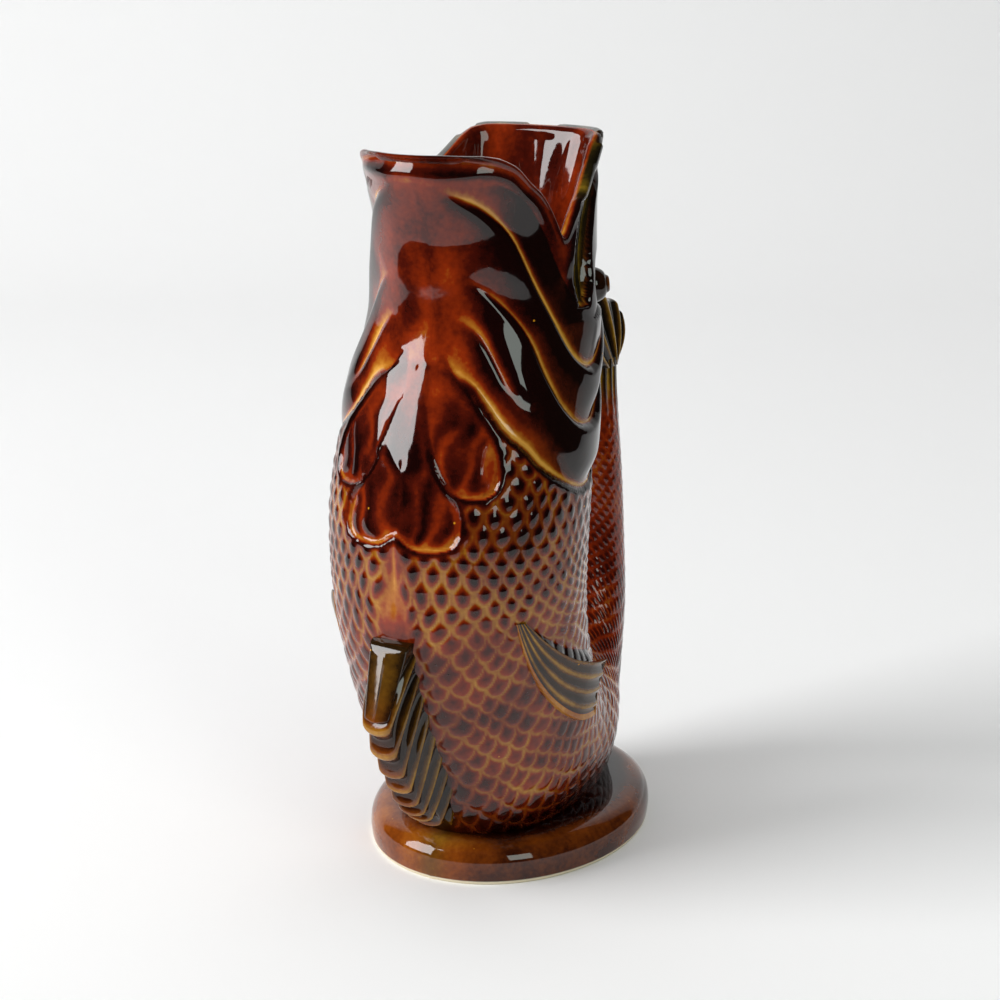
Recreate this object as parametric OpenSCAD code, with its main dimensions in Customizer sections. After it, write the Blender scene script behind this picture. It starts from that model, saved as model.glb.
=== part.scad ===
/* [Fish] */
// Height of the jug from the foot to the lips
jug_h = 247; // [230:1:264]
// Width of the trunk at its widest
trunk_w = 86; // [80:1:92]
// Depth from the fullest point of the belly to the outside of the tail
fish_d = 153; // [145:1:161]
// Thickness of the cast wall
wall = 4.5; // [3.5:0.1:5.5]
// Depth of the notch between the lips at each corner of the mouth
notch_depth = 29; // [22:1:34]
// How far each cheek is pinched in behind the notch
cheek_pinch = 5.5; // [3:0.5:7]

/* [Foot] */
// Width of the foot
foot_w = 95; // [90:1:102]
// Depth of the foot
foot_d = 117; // [112:1:124]
// Height of the foot
foot_h = 14; // [12:0.5:16]
// Thickness of the floor inside the foot
foot_floor = 5; // [4:0.5:7]

/* [Head] */
// Height of the gill covers' edges over the skin
gill_lift = 2.6; // [1.6:0.1:3.4]
// Height of the jaw lobes over the skin
jaw_lift = 4.4; // [3:0.2:5.6]
// Width of the eyes
eye_w = 12; // [9:0.5:14]

/* [Fins] */
// Height of the breast fins' edges over the skin
breast_lift = 2.4; // [1.6:0.1:3.2]
// How far the belly fin stands out from the belly
belly_fin_out = 17.5; // [12:0.5:19]
// Width of the belly fin where it leaves the belly
belly_fin_w = 17; // [13:0.5:20]
// Number of ribs on the belly fin
belly_fin_ribs = 10; // [7:1:12]
// How far the side fins stand out at their free edge
side_fin_lift = 6.5; // [4:0.5:8]
// Number of ribs on each side fin
side_fin_ribs = 5; // [4:1:6]
// Height of the tail fin over the tail
tail_fin_h = 21; // [17:1:25]
// Thickness of the tail fin at its free edge
tail_fin_t = 7; // [5:0.5:9]
// Number of ribs on the tail fin
tail_fin_ribs = 7; // [5:1:9]
// Height of the ribs on all fins
rib_h = 0.9; // [0.5:0.1:1.3]

/* [Hidden] */

// Corners of each outer ring of the fish, and of each ring of its hollow
sides = 48;
hollow_sides = 24;
// How far carved pieces are carried under the skin before the skin cuts them
sink = 1.5;
// Step used to measure the skin's slope
probe_share = 0.01;

// The fish in side view, from the lips down the trunk, round the bend and up the tail. Each row
// has its belly point and its back point (depth and height), its half width, how far from belly
// to back it is widest, and how round its back is (1 is a plain ellipse).
fish_shares = [
    [-0.487, 0.994, 0.157, 1.000, 0.837, 0.60, 0.76],
    [-0.438, 0.955, 0.150, 0.964, 0.819, 0.57, 0.80],
    [-0.402, 0.899, 0.136, 0.903, 0.819, 0.55, 0.90],
    [-0.385, 0.838, 0.123, 0.838, 0.833, 0.53, 1],
    [-0.392, 0.773, 0.114, 0.773, 0.879, 0.51, 1],
    [-0.431, 0.696, 0.101, 0.704, 0.940, 0.50, 1],
    [-0.481, 0.615, 0.078, 0.628, 0.984, 0.49, 1],
    [-0.510, 0.530, 0.053, 0.551, 1.000, 0.49, 1],
    [-0.523, 0.445, 0.039, 0.478, 1.000, 0.495, 1],
    [-0.523, 0.356, 0.043, 0.409, 0.963, 0.516, 1],
    [-0.477, 0.267, 0.062, 0.352, 0.930, 0.51, 1],
    [-0.408, 0.170, 0.091, 0.308, 0.912, 0.505, 1],
    [-0.314, 0.057, 0.121, 0.275, 0.872, 0.52, 1],
    [-0.163, -0.004, 0.157, 0.253, 0.814, 0.54, 1],
    [0.020, -0.024, 0.203, 0.243, 0.744, 0.55, 1],
    [0.196, -0.004, 0.248, 0.249, 0.616, 0.55, 1],
    [0.324, 0.057, 0.281, 0.271, 0.488, 0.54, 1],
    [0.418, 0.146, 0.302, 0.308, 0.407, 0.52, 1],
    [0.464, 0.239, 0.315, 0.352, 0.337, 0.51, 1],
    [0.477, 0.340, 0.325, 0.409, 0.293, 0.50, 1],
    [0.476, 0.453, 0.332, 0.482, 0.260, 0.50, 1],
    [0.471, 0.567, 0.339, 0.575, 0.222, 0.50, 1],
    [0.477, 0.644, 0.343, 0.644, 0.212, 0.50, 1]
];
rows = [for (r = fish_shares)
    [fish_d * r[0], jug_h * r[1], fish_d * r[2], jug_h * r[3], trunk_w / 2 * r[4], r[5], r[6]]];
last_row = len(rows) - 1;
// Row where the tail is joined on, and where the hollow ends inside the tail
tail_row = 18;
hollow_end_row = 21.5;
// Row by which the skin has closed up below the notched lips
lip_end_row = 4;

// Depth of the lips' edge round the mouth, from the spout (0) to the back of the head (1)
lip_shares = [
    [0, 0], [0.21, 0], [0.25, 0.05], [0.29, 0.16], [0.35, 0.47], [0.39, 0.74], [0.417, 1],
    [0.50, 0.86], [0.60, 0.56], [0.72, 0.27], [0.80, 0.10], [0.86, 0.03], [1, 0]
];
// Where round the head the cheeks are pinched, and where they are pinched most
pinch_from_share = 0.36;
pinch_most_share = 0.60;
pinch_to_share = 0.90;

// Smooth curve through a table of rows, at row s
function through(table, s) = let (
    last = len(table) - 1,
    i = max(0, min(floor(s), last - 1)),
    t = s - i,
    a = table[max(i - 1, 0)],
    b = table[i],
    c = table[i + 1],
    d = table[min(i + 2, last)])
    b * (2 * t ^ 3 - 3 * t ^ 2 + 1) + (c - a) / 2 * (t ^ 3 - 2 * t ^ 2 + t)
    + c * (3 * t ^ 2 - 2 * t ^ 3) + (d - b) / 2 * (t ^ 3 - t ^ 2);
function mix(a, b, t) = a + (b - a) * t;
function bump(x, from, most, to) = x <= from || x >= to ? 0
    : sin(90 * (x < most ? (x - from) / (most - from) : (to - x) / (to - most))) ^ 2;

// The lips' edge as a row: how far down the table its depth lies
lip_rows = [for (i = [0 : lip_end_row]) [jug_h - (rows[i][1] + rows[i][3]) / 2, i]];
function lip_row(round) = let (first = lip_rows[0][0])
    lookup(first + notch_depth * lookup(abs(round), lip_shares), lip_rows);
// Rows near the lips close up so that the first one follows the lips' edge
function row_below_lip(row, round) = row >= lip_end_row ? row
    : let (lip = lip_row(round)) lip + row * (lip_end_row - lip) / lip_end_row;

// Point of a row at a share of the way round, from the belly (0) to the back (1 or -1)
function ring_point(r, round, pinch) = let (
    angle = 180 * abs(round),
    side = round < 0 ? -1 : 1,
    front = angle < 90,
    across = front ? sin(angle) : sin(angle) ^ r[6],
    along = front ? r[5] * (1 - cos(angle)) : r[5] + (1 - r[5]) * (-cos(angle)) ^ r[6])
    [side * (r[4] * across - pinch), mix(r[0], r[2], along), mix(r[1], r[3], along)];
function pinch_at(row, round) = row >= lip_end_row ? 0
    : cheek_pinch * cos(90 * row / lip_end_row) ^ 2
        * bump(abs(round), pinch_from_share, pinch_most_share, pinch_to_share);
function skin_point(row, round) = ring_point(through(rows, row), round, pinch_at(row, round));
// A row drawn in by the wall on all sides, in its own plane
function hollow_row(row) = let (
    r = through(rows, row),
    depth = norm([r[2] - r[0], r[3] - r[1]]),
    in = wall / depth)
    [mix(r[0], r[2], in), mix(r[1], r[3], in), mix(r[2], r[0], in), mix(r[3], r[1], in),
        r[4] - wall, r[5], r[6]];
function hollow_point(row, round) = ring_point(hollow_row(row), round, pinch_at(row, round));
// Point over the skin, at a share of the way round and a row
function over_skin(round, row, lift) = let (
    p = skin_point(row, round),
    across = skin_point(row, round + probe_share) - skin_point(row, round - probe_share),
    down = skin_point(row + probe_share, round) - skin_point(row - probe_share, round),
    out = cross(down, across))
    p + lift * out / norm(out);

function rounds(n) = [for (i = [0 : n - 1]) i < n / 2 ? 2 * i / n : 2 * i / n - 2];
function skin_ring(row) = [for (a = rounds(sides)) skin_point(row_below_lip(row, a), a)];
function hollow_ring(row) = [for (a = rounds(hollow_sides)) hollow_point(row_below_lip(row, a), a)];
function middle(ring) = [for (i = [0 : 2]) [for (p = ring) p[i]] * [for (p = ring) 1] / len(ring)];

// Faces between rings of n corners, and the fan that closes a ring on one middle point
function band_faces(n, count, start) = [for (j = [0 : count - 2], i = [0 : n - 1])
    let (a = start + j * n + i, b = start + j * n + (i + 1) % n)
    each [[a, b, b + n], [a, b + n, a + n]]];
function turned(faces) = [for (f = faces) [f[2], f[1], f[0]]];
function fan_faces(n, start, tip) = [for (i = [0 : n - 1]) [start + i, start + (i + 1) % n, tip]];
// Faces of a strip between an outer ring and an inner ring of half as many corners
function rim_faces(n, outer, inner) = [for (i = [0 : n / 2 - 1]) let (
    a = outer + 2 * i, b = a + 1, c = outer + (2 * i + 2) % n,
    p = inner + i, q = inner + (i + 1) % (n / 2))
    each [[b, a, p], [b, p, q], [c, b, q]]];

// Closed solid through rings of equal numbers of corners
module loft(rings) {
    n = len(rings[0]);
    count = len(rings);
    points = [for (r = rings) each r, middle(rings[0]), middle(rings[count - 1])];
    faces = [
        each band_faces(n, count, 0),
        each turned(fan_faces(n, 0, n * count)),
        each fan_faces(n, n * (count - 1), n * count + 1)
    ];
    polyhedron(points, faces);
}

// A carved form is kept as one closed mesh, however it was cut
module carved() {
    resize([0, 0, 0]) difference() {
        children(0);
        children([1 : $children - 1]);
    }
}

// Outer form of the trunk, without its hollow, which everything on the skin is cut to
trunk_rows = [for (s = [0 : 0.5 : tail_row]) s];
module trunk_form() {
    loft([for (s = trunk_rows) skin_ring(s)]);
}
module below(height) {
    translate([-fish_d, -fish_d, height - jug_h]) cube([2 * fish_d, 2 * fish_d, jug_h]);
}

// Wall of the trunk: skin, hollow, the lips between them and the flat seat of the tail
module trunk_wall() {
    hollow_rows = [for (s = [0 : 1 : tail_row]) s];
    outer = [for (s = trunk_rows) each skin_ring(s)];
    inner = [for (s = hollow_rows) each hollow_ring(s)];
    first = len(outer);
    polyhedron([each outer, each inner], [
        each band_faces(sides, len(trunk_rows), 0),
        each turned(band_faces(hollow_sides, len(hollow_rows), first)),
        each rim_faces(sides, 0, first),
        each turned(rim_faces(sides, first - sides, first + len(inner) - hollow_sides))
    ]);
}
module trunk() {
    color("#8a3312") carved() {
        trunk_wall();
        below(foot_h);
    }
}

// Hollow of the trunk down to the foot's floor
module trunk_hollow() {
    loft([for (s = [lip_end_row : 1 : tail_row]) [for (a = rounds(hollow_sides)) hollow_point(s, a)]]);
}

// Foot: an oval cushion, drawn in by these shares of its height at these shares of its height
foot_profile_shares = [[0.11, 0], [0.02, 0.22], [0, 0.43], [0.09, 0.64], [0.32, 0.84], [0.68, 0.96], [1.05, 1]];
function oval(width, depth, height) = [for (a = rounds(sides))
    [width / 2 * sin(180 * a), -depth / 2 * cos(180 * a), height]];
module foot() {
    rings = [for (p = foot_profile_shares)
        oval(foot_w - 2 * foot_h * p[0], foot_d - 2 * foot_h * p[0], foot_h * p[1])];
    color("#9c4a16") carved() {
        loft([for (i = [len(rings) - 1 : -1 : 0]) rings[i]]);
        difference() {
            trunk_hollow();
            below(foot_floor);
        }
    }
}

// Tail: a sealed tube that opens into the trunk at its lower end
module tail() {
    outer_rows = [for (s = [tail_row : 0.5 : last_row]) s];
    inner_rows = [each [tail_row : 1 : hollow_end_row], hollow_end_row];
    outer = [for (s = outer_rows) each skin_ring(s)];
    inner = [for (s = inner_rows) each hollow_ring(s)];
    first = len(outer);
    ends = [middle(skin_ring(last_row)), middle(hollow_ring(hollow_end_row))];
    tip = first + len(inner);
    color("#8f3c14") polyhedron([each outer, each inner, each ends], [
        each band_faces(sides, len(outer_rows), 0),
        each fan_faces(sides, first - sides, tip),
        each turned(band_faces(hollow_sides, len(inner_rows), first)),
        each turned(fan_faces(hollow_sides, tip - hollow_sides, tip + 1)),
        each rim_faces(sides, 0, first)
    ]);
}

// Closed sheet over the skin. Each row of the grid holds [round, row, lift], and its underside
// runs beneath the skin, which then cuts it.
module over_skin_sheet(grid) {
    n = len(grid[0]);
    count = len(grid);
    top = [for (row = grid) [for (p = row) over_skin(p[0], p[1], p[2])]];
    under = [for (row = grid) [for (p = row) over_skin(p[0], p[1], -2 * sink)]];
    rings = [for (j = [0 : count - 1]) [each top[j], for (i = [n - 1 : -1 : 0]) under[j][i]]];
    loft(rings);
}
module on_side(side) {
    mirror([(1 - side) / 2, 0, 0]) children();
}
function curve(table, t) = through(table, t * (len(table) - 1));
function along_list(list, t) = let (
    at = t * (len(list) - 1),
    i = min(floor(at), len(list) - 2))
    mix(list[i], list[i + 1], at - i);

// Gill covers: three curved plates whose raised edges run from the throat up to the neck
jaw_line_shares = [[0.13, 0.5], [0.21, 0.9], [0.29, 1.6], [0.34, 2.4], [0.40, 3.2], [0.49, 4.0], [0.56, 4.1], [0.61, 3.6]];
cheek_line_shares = [[0.11, 1.0], [0.17, 1.6], [0.26, 2.6], [0.31, 3.5], [0.38, 4.3], [0.52, 5.0], [0.60, 4.9], [0.66, 4.2]];
gill_line_shares = [[0.06, 2.0], [0.15, 2.6], [0.25, 3.7], [0.39, 5.0], [0.50, 5.8], [0.60, 5.9], [0.69, 5.2], [0.74, 4.2]];
throat_line_shares = [[0.03, 4.0], [0.11, 4.6], [0.22, 5.3], [0.34, 6.0], [0.53, 6.9], [0.64, 6.9], [0.74, 6.1], [0.80, 4.9]];
gill_lines = [jaw_line_shares, cheek_line_shares, gill_line_shares, throat_line_shares];
// Across each plate: share of the way to its edge and share of the lift
plate_shares = [[0.08, 0.30], [0.50, 0.34], [0.80, 0.60], [0.93, 1], [1.0, 0.85]];
plate_foot_share = 1.08;
// Along each plate: share of the lift
gill_fade_shares = [0.55, 0.80, 0.92, 1, 1, 0.92, 0.75, 0.35];
module gill_sheet(side) {
    steps = 16;
    function plate_point(k, across, lift, t) = let (
        a = curve(gill_lines[k], t),
        b = curve(gill_lines[k + 1], t),
        fade = along_list(gill_fade_shares, t),
        at = mix(a, b, across))
        [at[0], at[1], gill_lift * lift * fade];
    function edge_point(k, across, t) = let (
        at = mix(curve(gill_lines[k], t), curve(gill_lines[k + 1], t), across))
        [at[0], at[1], -sink];
    grid = [for (j = [steps : -1 : 0]) let (t = j / steps) [
        edge_point(0, 0, t),
        for (k = [0 : 2], p = plate_shares) plate_point(k, p[0], p[1], t),
        edge_point(2, plate_foot_share, t)
    ]];
    on_side(side) over_skin_sheet(grid);
}
module gill_cover(side) {
    color("#7c2510") carved() {
        gill_sheet(side);
        trunk_form();
    }
}

// Breast fins: two broad overlapping lobes on each side of the throat, which come out from under
// the gill covers, each from its root to its tip with its half width, as shares round the fish
// and rows along it
lobe_shares = [
    [[0.04, 3.9], [0.180, 6.60], 0.072],
    [[0.02, 4.3], [0.088, 7.40], 0.068]
];
// Along each lobe: share of its length, share of its half width and share of its lift
lobe_length_shares = [
    [0, 0.30, 0.10], [0.25, 0.60, 0.35], [0.50, 0.84, 0.60], [0.72, 0.98, 0.85], [0.86, 1, 1],
    [0.95, 0.84, 1], [1, 0.50, 0.55]
];
// Across each lobe: share of its half width and share of its lift
lobe_width_shares = [[-0.90, 0.95], [-0.60, 0.55], [-0.2, 0.70], [0.25, 0.55], [0.60, 0.65], [0.92, 1]];
module breast_fin(side) {
    function lobe_point(lobe, along, across) = let (
        at = mix(lobe[0], lobe[1], along[0]),
        half = lobe[2] * along[1])
        [at[0] + half * across[0], at[1], breast_lift * along[2] * across[1]];
    function sunk(p) = [p[0], p[1], -sink];
    function lobe_grid(lobe) = [for (along = lobe_length_shares) [
        sunk(lobe_point(lobe, along, [-1, 0])),
        for (across = lobe_width_shares) lobe_point(lobe, along, across),
        sunk(lobe_point(lobe, along, [1, 0]))
    ]];
    color("#8a2a10") carved() {
        on_side(side) union() {
            for (lobe = lobe_shares) over_skin_sheet(lobe_grid(lobe));
        }
        trunk_form();
        gill_sheet(side);
        translate([side > 0 ? -trunk_w : 0, -fish_d, 0]) cube([trunk_w, 2 * fish_d, jug_h]);
    }
}

// Jaw lobes: thick straps outside the back lip, from its corners down past the notch. Each row
// has the strap's middle as a share round the fish and a row, its half width and its lift.
jaw_shares = [
    [0.77, 0.95, 0.030, 0.04],
    [0.69, 1.15, 0.042, 0.16],
    [0.61, 1.50, 0.050, 0.50],
    [0.55, 2.05, 0.055, 0.90],
    [0.52, 2.70, 0.060, 1.00],
    [0.51, 3.25, 0.055, 0.95],
    [0.505, 3.55, 0.022, 0.40]
];
// Across each strap: share of its half width and share of its lift
jaw_width_shares = [[-0.75, 0.75], [0, 1], [0.75, 0.8]];
module jaw_lobe(side) {
    steps = 12;
    function lobe_point(at, across, lift) = [at[0] + at[2] * across, at[1], lift];
    grid = [for (j = [0 : steps]) let (at = curve(jaw_shares, j / steps)) [
        lobe_point(at, -1, -sink),
        for (p = jaw_width_shares) lobe_point(at, p[0], jaw_lift * p[1] * at[3]),
        lobe_point(at, 1, -sink)
    ]];
    color("#4a2a0c") carved() {
        on_side(side) over_skin_sheet(grid);
        trunk_form();
    }
}

// Eyes: domes behind the jaw lobes, set into the skin by this share of their width
eye_shares = [0.68, 3.1];
eye_set_share = 1 / 6;
module eye(side) {
    color("#3a1a08") carved() {
        on_side(side) translate(over_skin(eye_shares[0], eye_shares[1], -eye_w * eye_set_share))
            sphere(d = eye_w, $fn = 24);
        trunk_form();
    }
}

// Belly fin: a keel whose ribs run out and down from the belly. Each row has the rib's root and
// its tip as rows of the fish, and shares of how far it stands out and of its widths.
belly_fin_shares = [
    [8.85, 9.60, 0.94, 0.80, 0.50],
    [9.50, 10.05, 0.98, 0.86, 0.40],
    [9.95, 10.45, 0.88, 0.92, 0.36],
    [10.40, 10.85, 0.68, 0.97, 0.38],
    [10.85, 11.20, 0.46, 1.00, 0.44],
    [11.30, 11.55, 0.27, 1.00, 0.52],
    [11.85, 12.00, 0.08, 0.92, 0.60]
];
// Each rib bends at this share of the way to its tip, at this share of its lift
knee_row_share = 0.55;
knee_lift_share = 0.48;
// The keel's flat front face: its upper and lower ends as rows and shares of the keel's lift
front_face_shares = [[8.76, 0.18], [9.57, 0.90]];
function rib_wave(t, ribs) = rib_h * (1 - cos(360 * ribs * t)) / 2;
module belly_fin() {
    steps = 4 * belly_fin_ribs;
    function sides_of(root, knee, tip, halves) = [
        root + [halves[0], 0, 0], knee + [halves[1], 0, 0], tip + [halves[2], 0, 0],
        tip - [halves[2], 0, 0], knee - [halves[1], 0, 0], root - [halves[0], 0, 0]
    ];
    function slice(t) = let (
        f = curve(belly_fin_shares, t),
        root = over_skin(0, f[0], -3 * sink),
        knee = over_skin(0, mix(f[0], f[1], knee_row_share), belly_fin_out * f[2] * knee_lift_share),
        tip = over_skin(0, f[1], belly_fin_out * f[2]),
        wave = rib_wave(t, belly_fin_ribs),
        root_half = belly_fin_w * f[3] / 2,
        tip_half = belly_fin_w * f[4] / 2 + wave / 2)
        sides_of(root, knee, tip, [root_half, mix(root_half, tip_half, knee_lift_share) + wave, tip_half]);
    front = [for (f = front_face_shares) over_skin(0, f[0], belly_fin_out * f[1])];
    front_halves = [for (i = [3, 4]) belly_fin_w * belly_fin_shares[0][i] / 2];
    front_face = sides_of(front[0], mix(front[0], front[1], 0.5), front[1],
        [front_halves[0], mix(front_halves[0], front_halves[1], 0.5), front_halves[1]]);
    color("#6b4a14") carved() {
        loft([for (j = [steps : -1 : 0]) slice(j / steps), front_face]);
        trunk_form();
        below(foot_h);
    }
}

// Side fins: fans that rise from their lower edge to a free upper edge
side_fin_low_shares = [[0.31, 8.7], [0.36, 9.8], [0.41, 10.7], [0.47, 11.2], [0.54, 11.5]];
side_fin_high_shares = [[0.33, 8.65], [0.38, 9.1], [0.44, 9.55], [0.51, 9.95], [0.58, 10.3]];
// Share of the lift from the lower edge to the free edge, and along the fin
side_fin_rise_shares = [0.12, 0.27, 0.48, 0.73, 1];
side_fin_length_shares = [0.06, 0.36, 0.72, 0.95, 1];
side_fin_foot_share = 0.04;
module side_fin(side) {
    steps = 8;
    ribs = 3 * side_fin_ribs;
    function fin_point(t, across, lift) = let (
        at = mix(curve(side_fin_low_shares, t), curve(side_fin_high_shares, t), across))
        [at[0], at[1], lift];
    function fin_lift(t, across) = along_list(side_fin_length_shares, t)
        * (side_fin_lift * along_list(side_fin_rise_shares, across) + rib_wave(across, side_fin_ribs));
    grid = [for (j = [0 : steps]) let (t = j / steps) [
        fin_point(t, -side_fin_foot_share, -sink),
        for (i = [0 : ribs]) fin_point(t, i / ribs, fin_lift(t, i / ribs)),
        fin_point(t, 1 + side_fin_foot_share, -sink)
    ]];
    color("#7a4a18") carved() {
        on_side(side) over_skin_sheet(grid);
        trunk_form();
    }
}

// Tail fin: a ribbed fan in the plane of the fish, from the tail's end to the back of the head.
// Each row has a rib's root as a share of the tail's depth, its tip as shares of the way to the
// head and of the fin's height, how far it bends outwards and how wide it is at its root.
tail_fin_shares = [
    [0.02, -0.15, 0.46, 0.35, 0.58],
    [0.12, -0.09, 0.72, 0.20, 0.75],
    [0.30, 0.09, 0.94, 0.08, 0.95],
    [0.50, 0.36, 1.00, 0, 1],
    [0.70, 0.64, 0.98, 0, 0.95],
    [0.88, 0.92, 0.92, 0, 0.75],
    [0.98, 1.06, 0.46, 0, 0.58]
];
// Row of the head that the fin reaches
tail_fin_head_row = 5;
module tail_fin() {
    steps = 4 * tail_fin_ribs;
    end = rows[last_row];
    seat = end[1];
    head_y = skin_point(tail_fin_head_row, 1)[1];
    function slice(t) = let (
        f = curve(tail_fin_shares, t),
        root = [0, mix(end[0], end[2], f[0]), seat],
        tip = [0, mix(end[0], head_y, f[1]), seat + tail_fin_h * f[2]],
        knee = (root + tip) / 2 + [0, end[4] * f[3], 0],
        wave = rib_wave(t, tail_fin_ribs),
        root_half = end[4] * f[4] - rib_h,
        tip_half = tail_fin_t / 2 + wave,
        knee_half = (root_half + tip_half) / 2 + wave)
        [root + [root_half, 0, 0], knee + [knee_half, 0, 0], tip + [tip_half, 0, 0],
            tip - [tip_half, 0, 0], knee - [knee_half, 0, 0], root - [root_half, 0, 0]];
    color("#5c3c10") carved() {
        loft([for (j = [steps : -1 : 0]) slice(j / steps)]);
        trunk_form();
    }
}

foot();
trunk();
tail();
tail_fin();
belly_fin();
side_fin(1);  // side_fin_right
side_fin(-1);  // side_fin_left
gill_cover(1);  // gill_cover_right
gill_cover(-1);  // gill_cover_left
breast_fin(1);  // breast_fin_right
breast_fin(-1);  // breast_fin_left
jaw_lobe(1);  // jaw_lobe_right
jaw_lobe(-1);  // jaw_lobe_left
eye(1);  // eye_right
eye(-1);  // eye_left
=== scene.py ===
"""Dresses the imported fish-shaped gurgle jug: carved and glazed pieces in place of the plain solids.

Sizes inside the file are in millimetres, as a potter would give them, and are turned into metres
where a mesh is made. The jug stands on Z = 0 with its spout towards -Y and its tail towards +Y.
"""

import logging
import math
from dataclasses import dataclass
from enum import Enum
from functools import partial

import bpy
import numpy as np
from mathutils import Matrix, Vector


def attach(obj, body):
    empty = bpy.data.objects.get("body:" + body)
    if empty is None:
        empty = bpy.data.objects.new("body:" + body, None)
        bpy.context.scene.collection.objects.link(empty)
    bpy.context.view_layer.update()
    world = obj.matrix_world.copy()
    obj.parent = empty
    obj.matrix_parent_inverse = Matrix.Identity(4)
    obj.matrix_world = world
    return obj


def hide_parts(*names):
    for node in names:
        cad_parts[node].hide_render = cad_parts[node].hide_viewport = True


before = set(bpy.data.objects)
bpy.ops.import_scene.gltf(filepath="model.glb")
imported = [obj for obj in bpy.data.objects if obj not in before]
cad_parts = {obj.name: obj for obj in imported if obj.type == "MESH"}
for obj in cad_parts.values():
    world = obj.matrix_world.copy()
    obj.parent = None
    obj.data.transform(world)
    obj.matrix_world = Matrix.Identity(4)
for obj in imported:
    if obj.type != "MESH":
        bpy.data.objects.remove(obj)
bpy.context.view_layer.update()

MM = 0.001
# A distance in millimetres that is out of every reach here
FAR = 1000.0
HANDS = {1: "right", -1: "left"}
# Places on the fish are how far round it they lie, from the belly (0) to the back (1), and a row of
# its form. These belong to a piece and to the skin that is carved to take it.
EYE_PLACE = (0.67, 3.55)
SIDE_FIN_EDGE = ((0.33, 8.65), (0.38, 9.1), (0.44, 9.55), (0.51, 9.95), (0.57, 10.25))
log = logging.getLogger("jug")


def smoothstep(low: float, high: float, x: np.ndarray) -> np.ndarray:
    """Gives the smooth rise from 0 at low to 1 at high."""
    t = np.clip((x - low) / (high - low), 0, 1)
    return t * t * (3 - 2 * t)


def mix(a: np.ndarray, b: np.ndarray, t: np.ndarray) -> np.ndarray:
    """Gives the value a share t of the way from a to b."""
    return a + (b - a) * t


def ridge(x: np.ndarray, half: float) -> np.ndarray:
    """Gives a rounded ridge over x = 0 that has fallen to 0.37 at half."""
    return np.exp(-((x / half) ** 2))


def through(table: np.ndarray, at: np.ndarray) -> np.ndarray:
    """Runs a smooth curve through the rows of a table.

    Args:
        table: Rows of values.
        at: Places along the table, in rows.

    Returns:
        One row of values for each place.
    """
    last = len(table) - 1
    at = np.asarray(at, float)
    i = np.clip(np.floor(at).astype(int), 0, last - 1)
    t = (at - i)[..., None]
    a, b = table[np.maximum(i - 1, 0)], table[i]
    c, d = table[i + 1], table[np.minimum(i + 2, last)]
    return (
        b * (2 * t**3 - 3 * t**2 + 1)
        + (c - a) / 2 * (t**3 - 2 * t**2 + t)
        + c * (3 * t**2 - 2 * t**3)
        + (d - b) / 2 * (t**3 - t**2)
    )


def curve(table: list, t: np.ndarray) -> np.ndarray:
    """Gives the points of a smooth curve through a table at shares t of its length."""
    table = np.asarray(table, float)
    return through(table, np.asarray(t, float) * (len(table) - 1))


def along(values: list, t: np.ndarray) -> np.ndarray:
    """Gives the values at shares t of a list's length, straight between its entries."""
    return np.interp(np.asarray(t) * (len(values) - 1), range(len(values)), values)


def read(table: tuple, at: np.ndarray) -> np.ndarray:
    """Reads a table of pairs, a place and a value, straight between its rows."""
    return np.interp(at, *np.array(table, float).T)


def bowed(start: np.ndarray, middle: np.ndarray, end: np.ndarray, t: np.ndarray) -> np.ndarray:
    """Runs a simple bow from start through middle, halfway, to end."""
    bend = 2 * middle - (start + end) / 2
    return (1 - t) ** 2 * start + 2 * t * (1 - t) * bend + t**2 * end


def rib_wave(t: np.ndarray, ribs: int, sharp: float = 1.0, ends: int = 1) -> np.ndarray:
    """Gives ribs along t that rise from 0 to 1, with crests (1) or troughs (-1) at both ends."""
    return (0.5 + 0.5 * ends * np.cos(2 * np.pi * ribs * t)) ** sharp


def unit(v: np.ndarray) -> np.ndarray:
    """Gives vectors of length 1."""
    return v / np.maximum(np.linalg.norm(v, axis=-1, keepdims=True), 1e-9)


def ring_distance(points: np.ndarray, ring: np.ndarray) -> np.ndarray:
    """Measures how far points lie from a closed ring of straight runs."""
    run = np.roll(ring, -1, 0) - ring
    off = points[:, None] - ring[None]
    t = np.clip((off * run).sum(2) / (run * run).sum(1), 0, 1)
    return np.linalg.norm(off - t[..., None] * run, axis=2).min(1)


# ---------------------------------------------------------------- meshes


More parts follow.
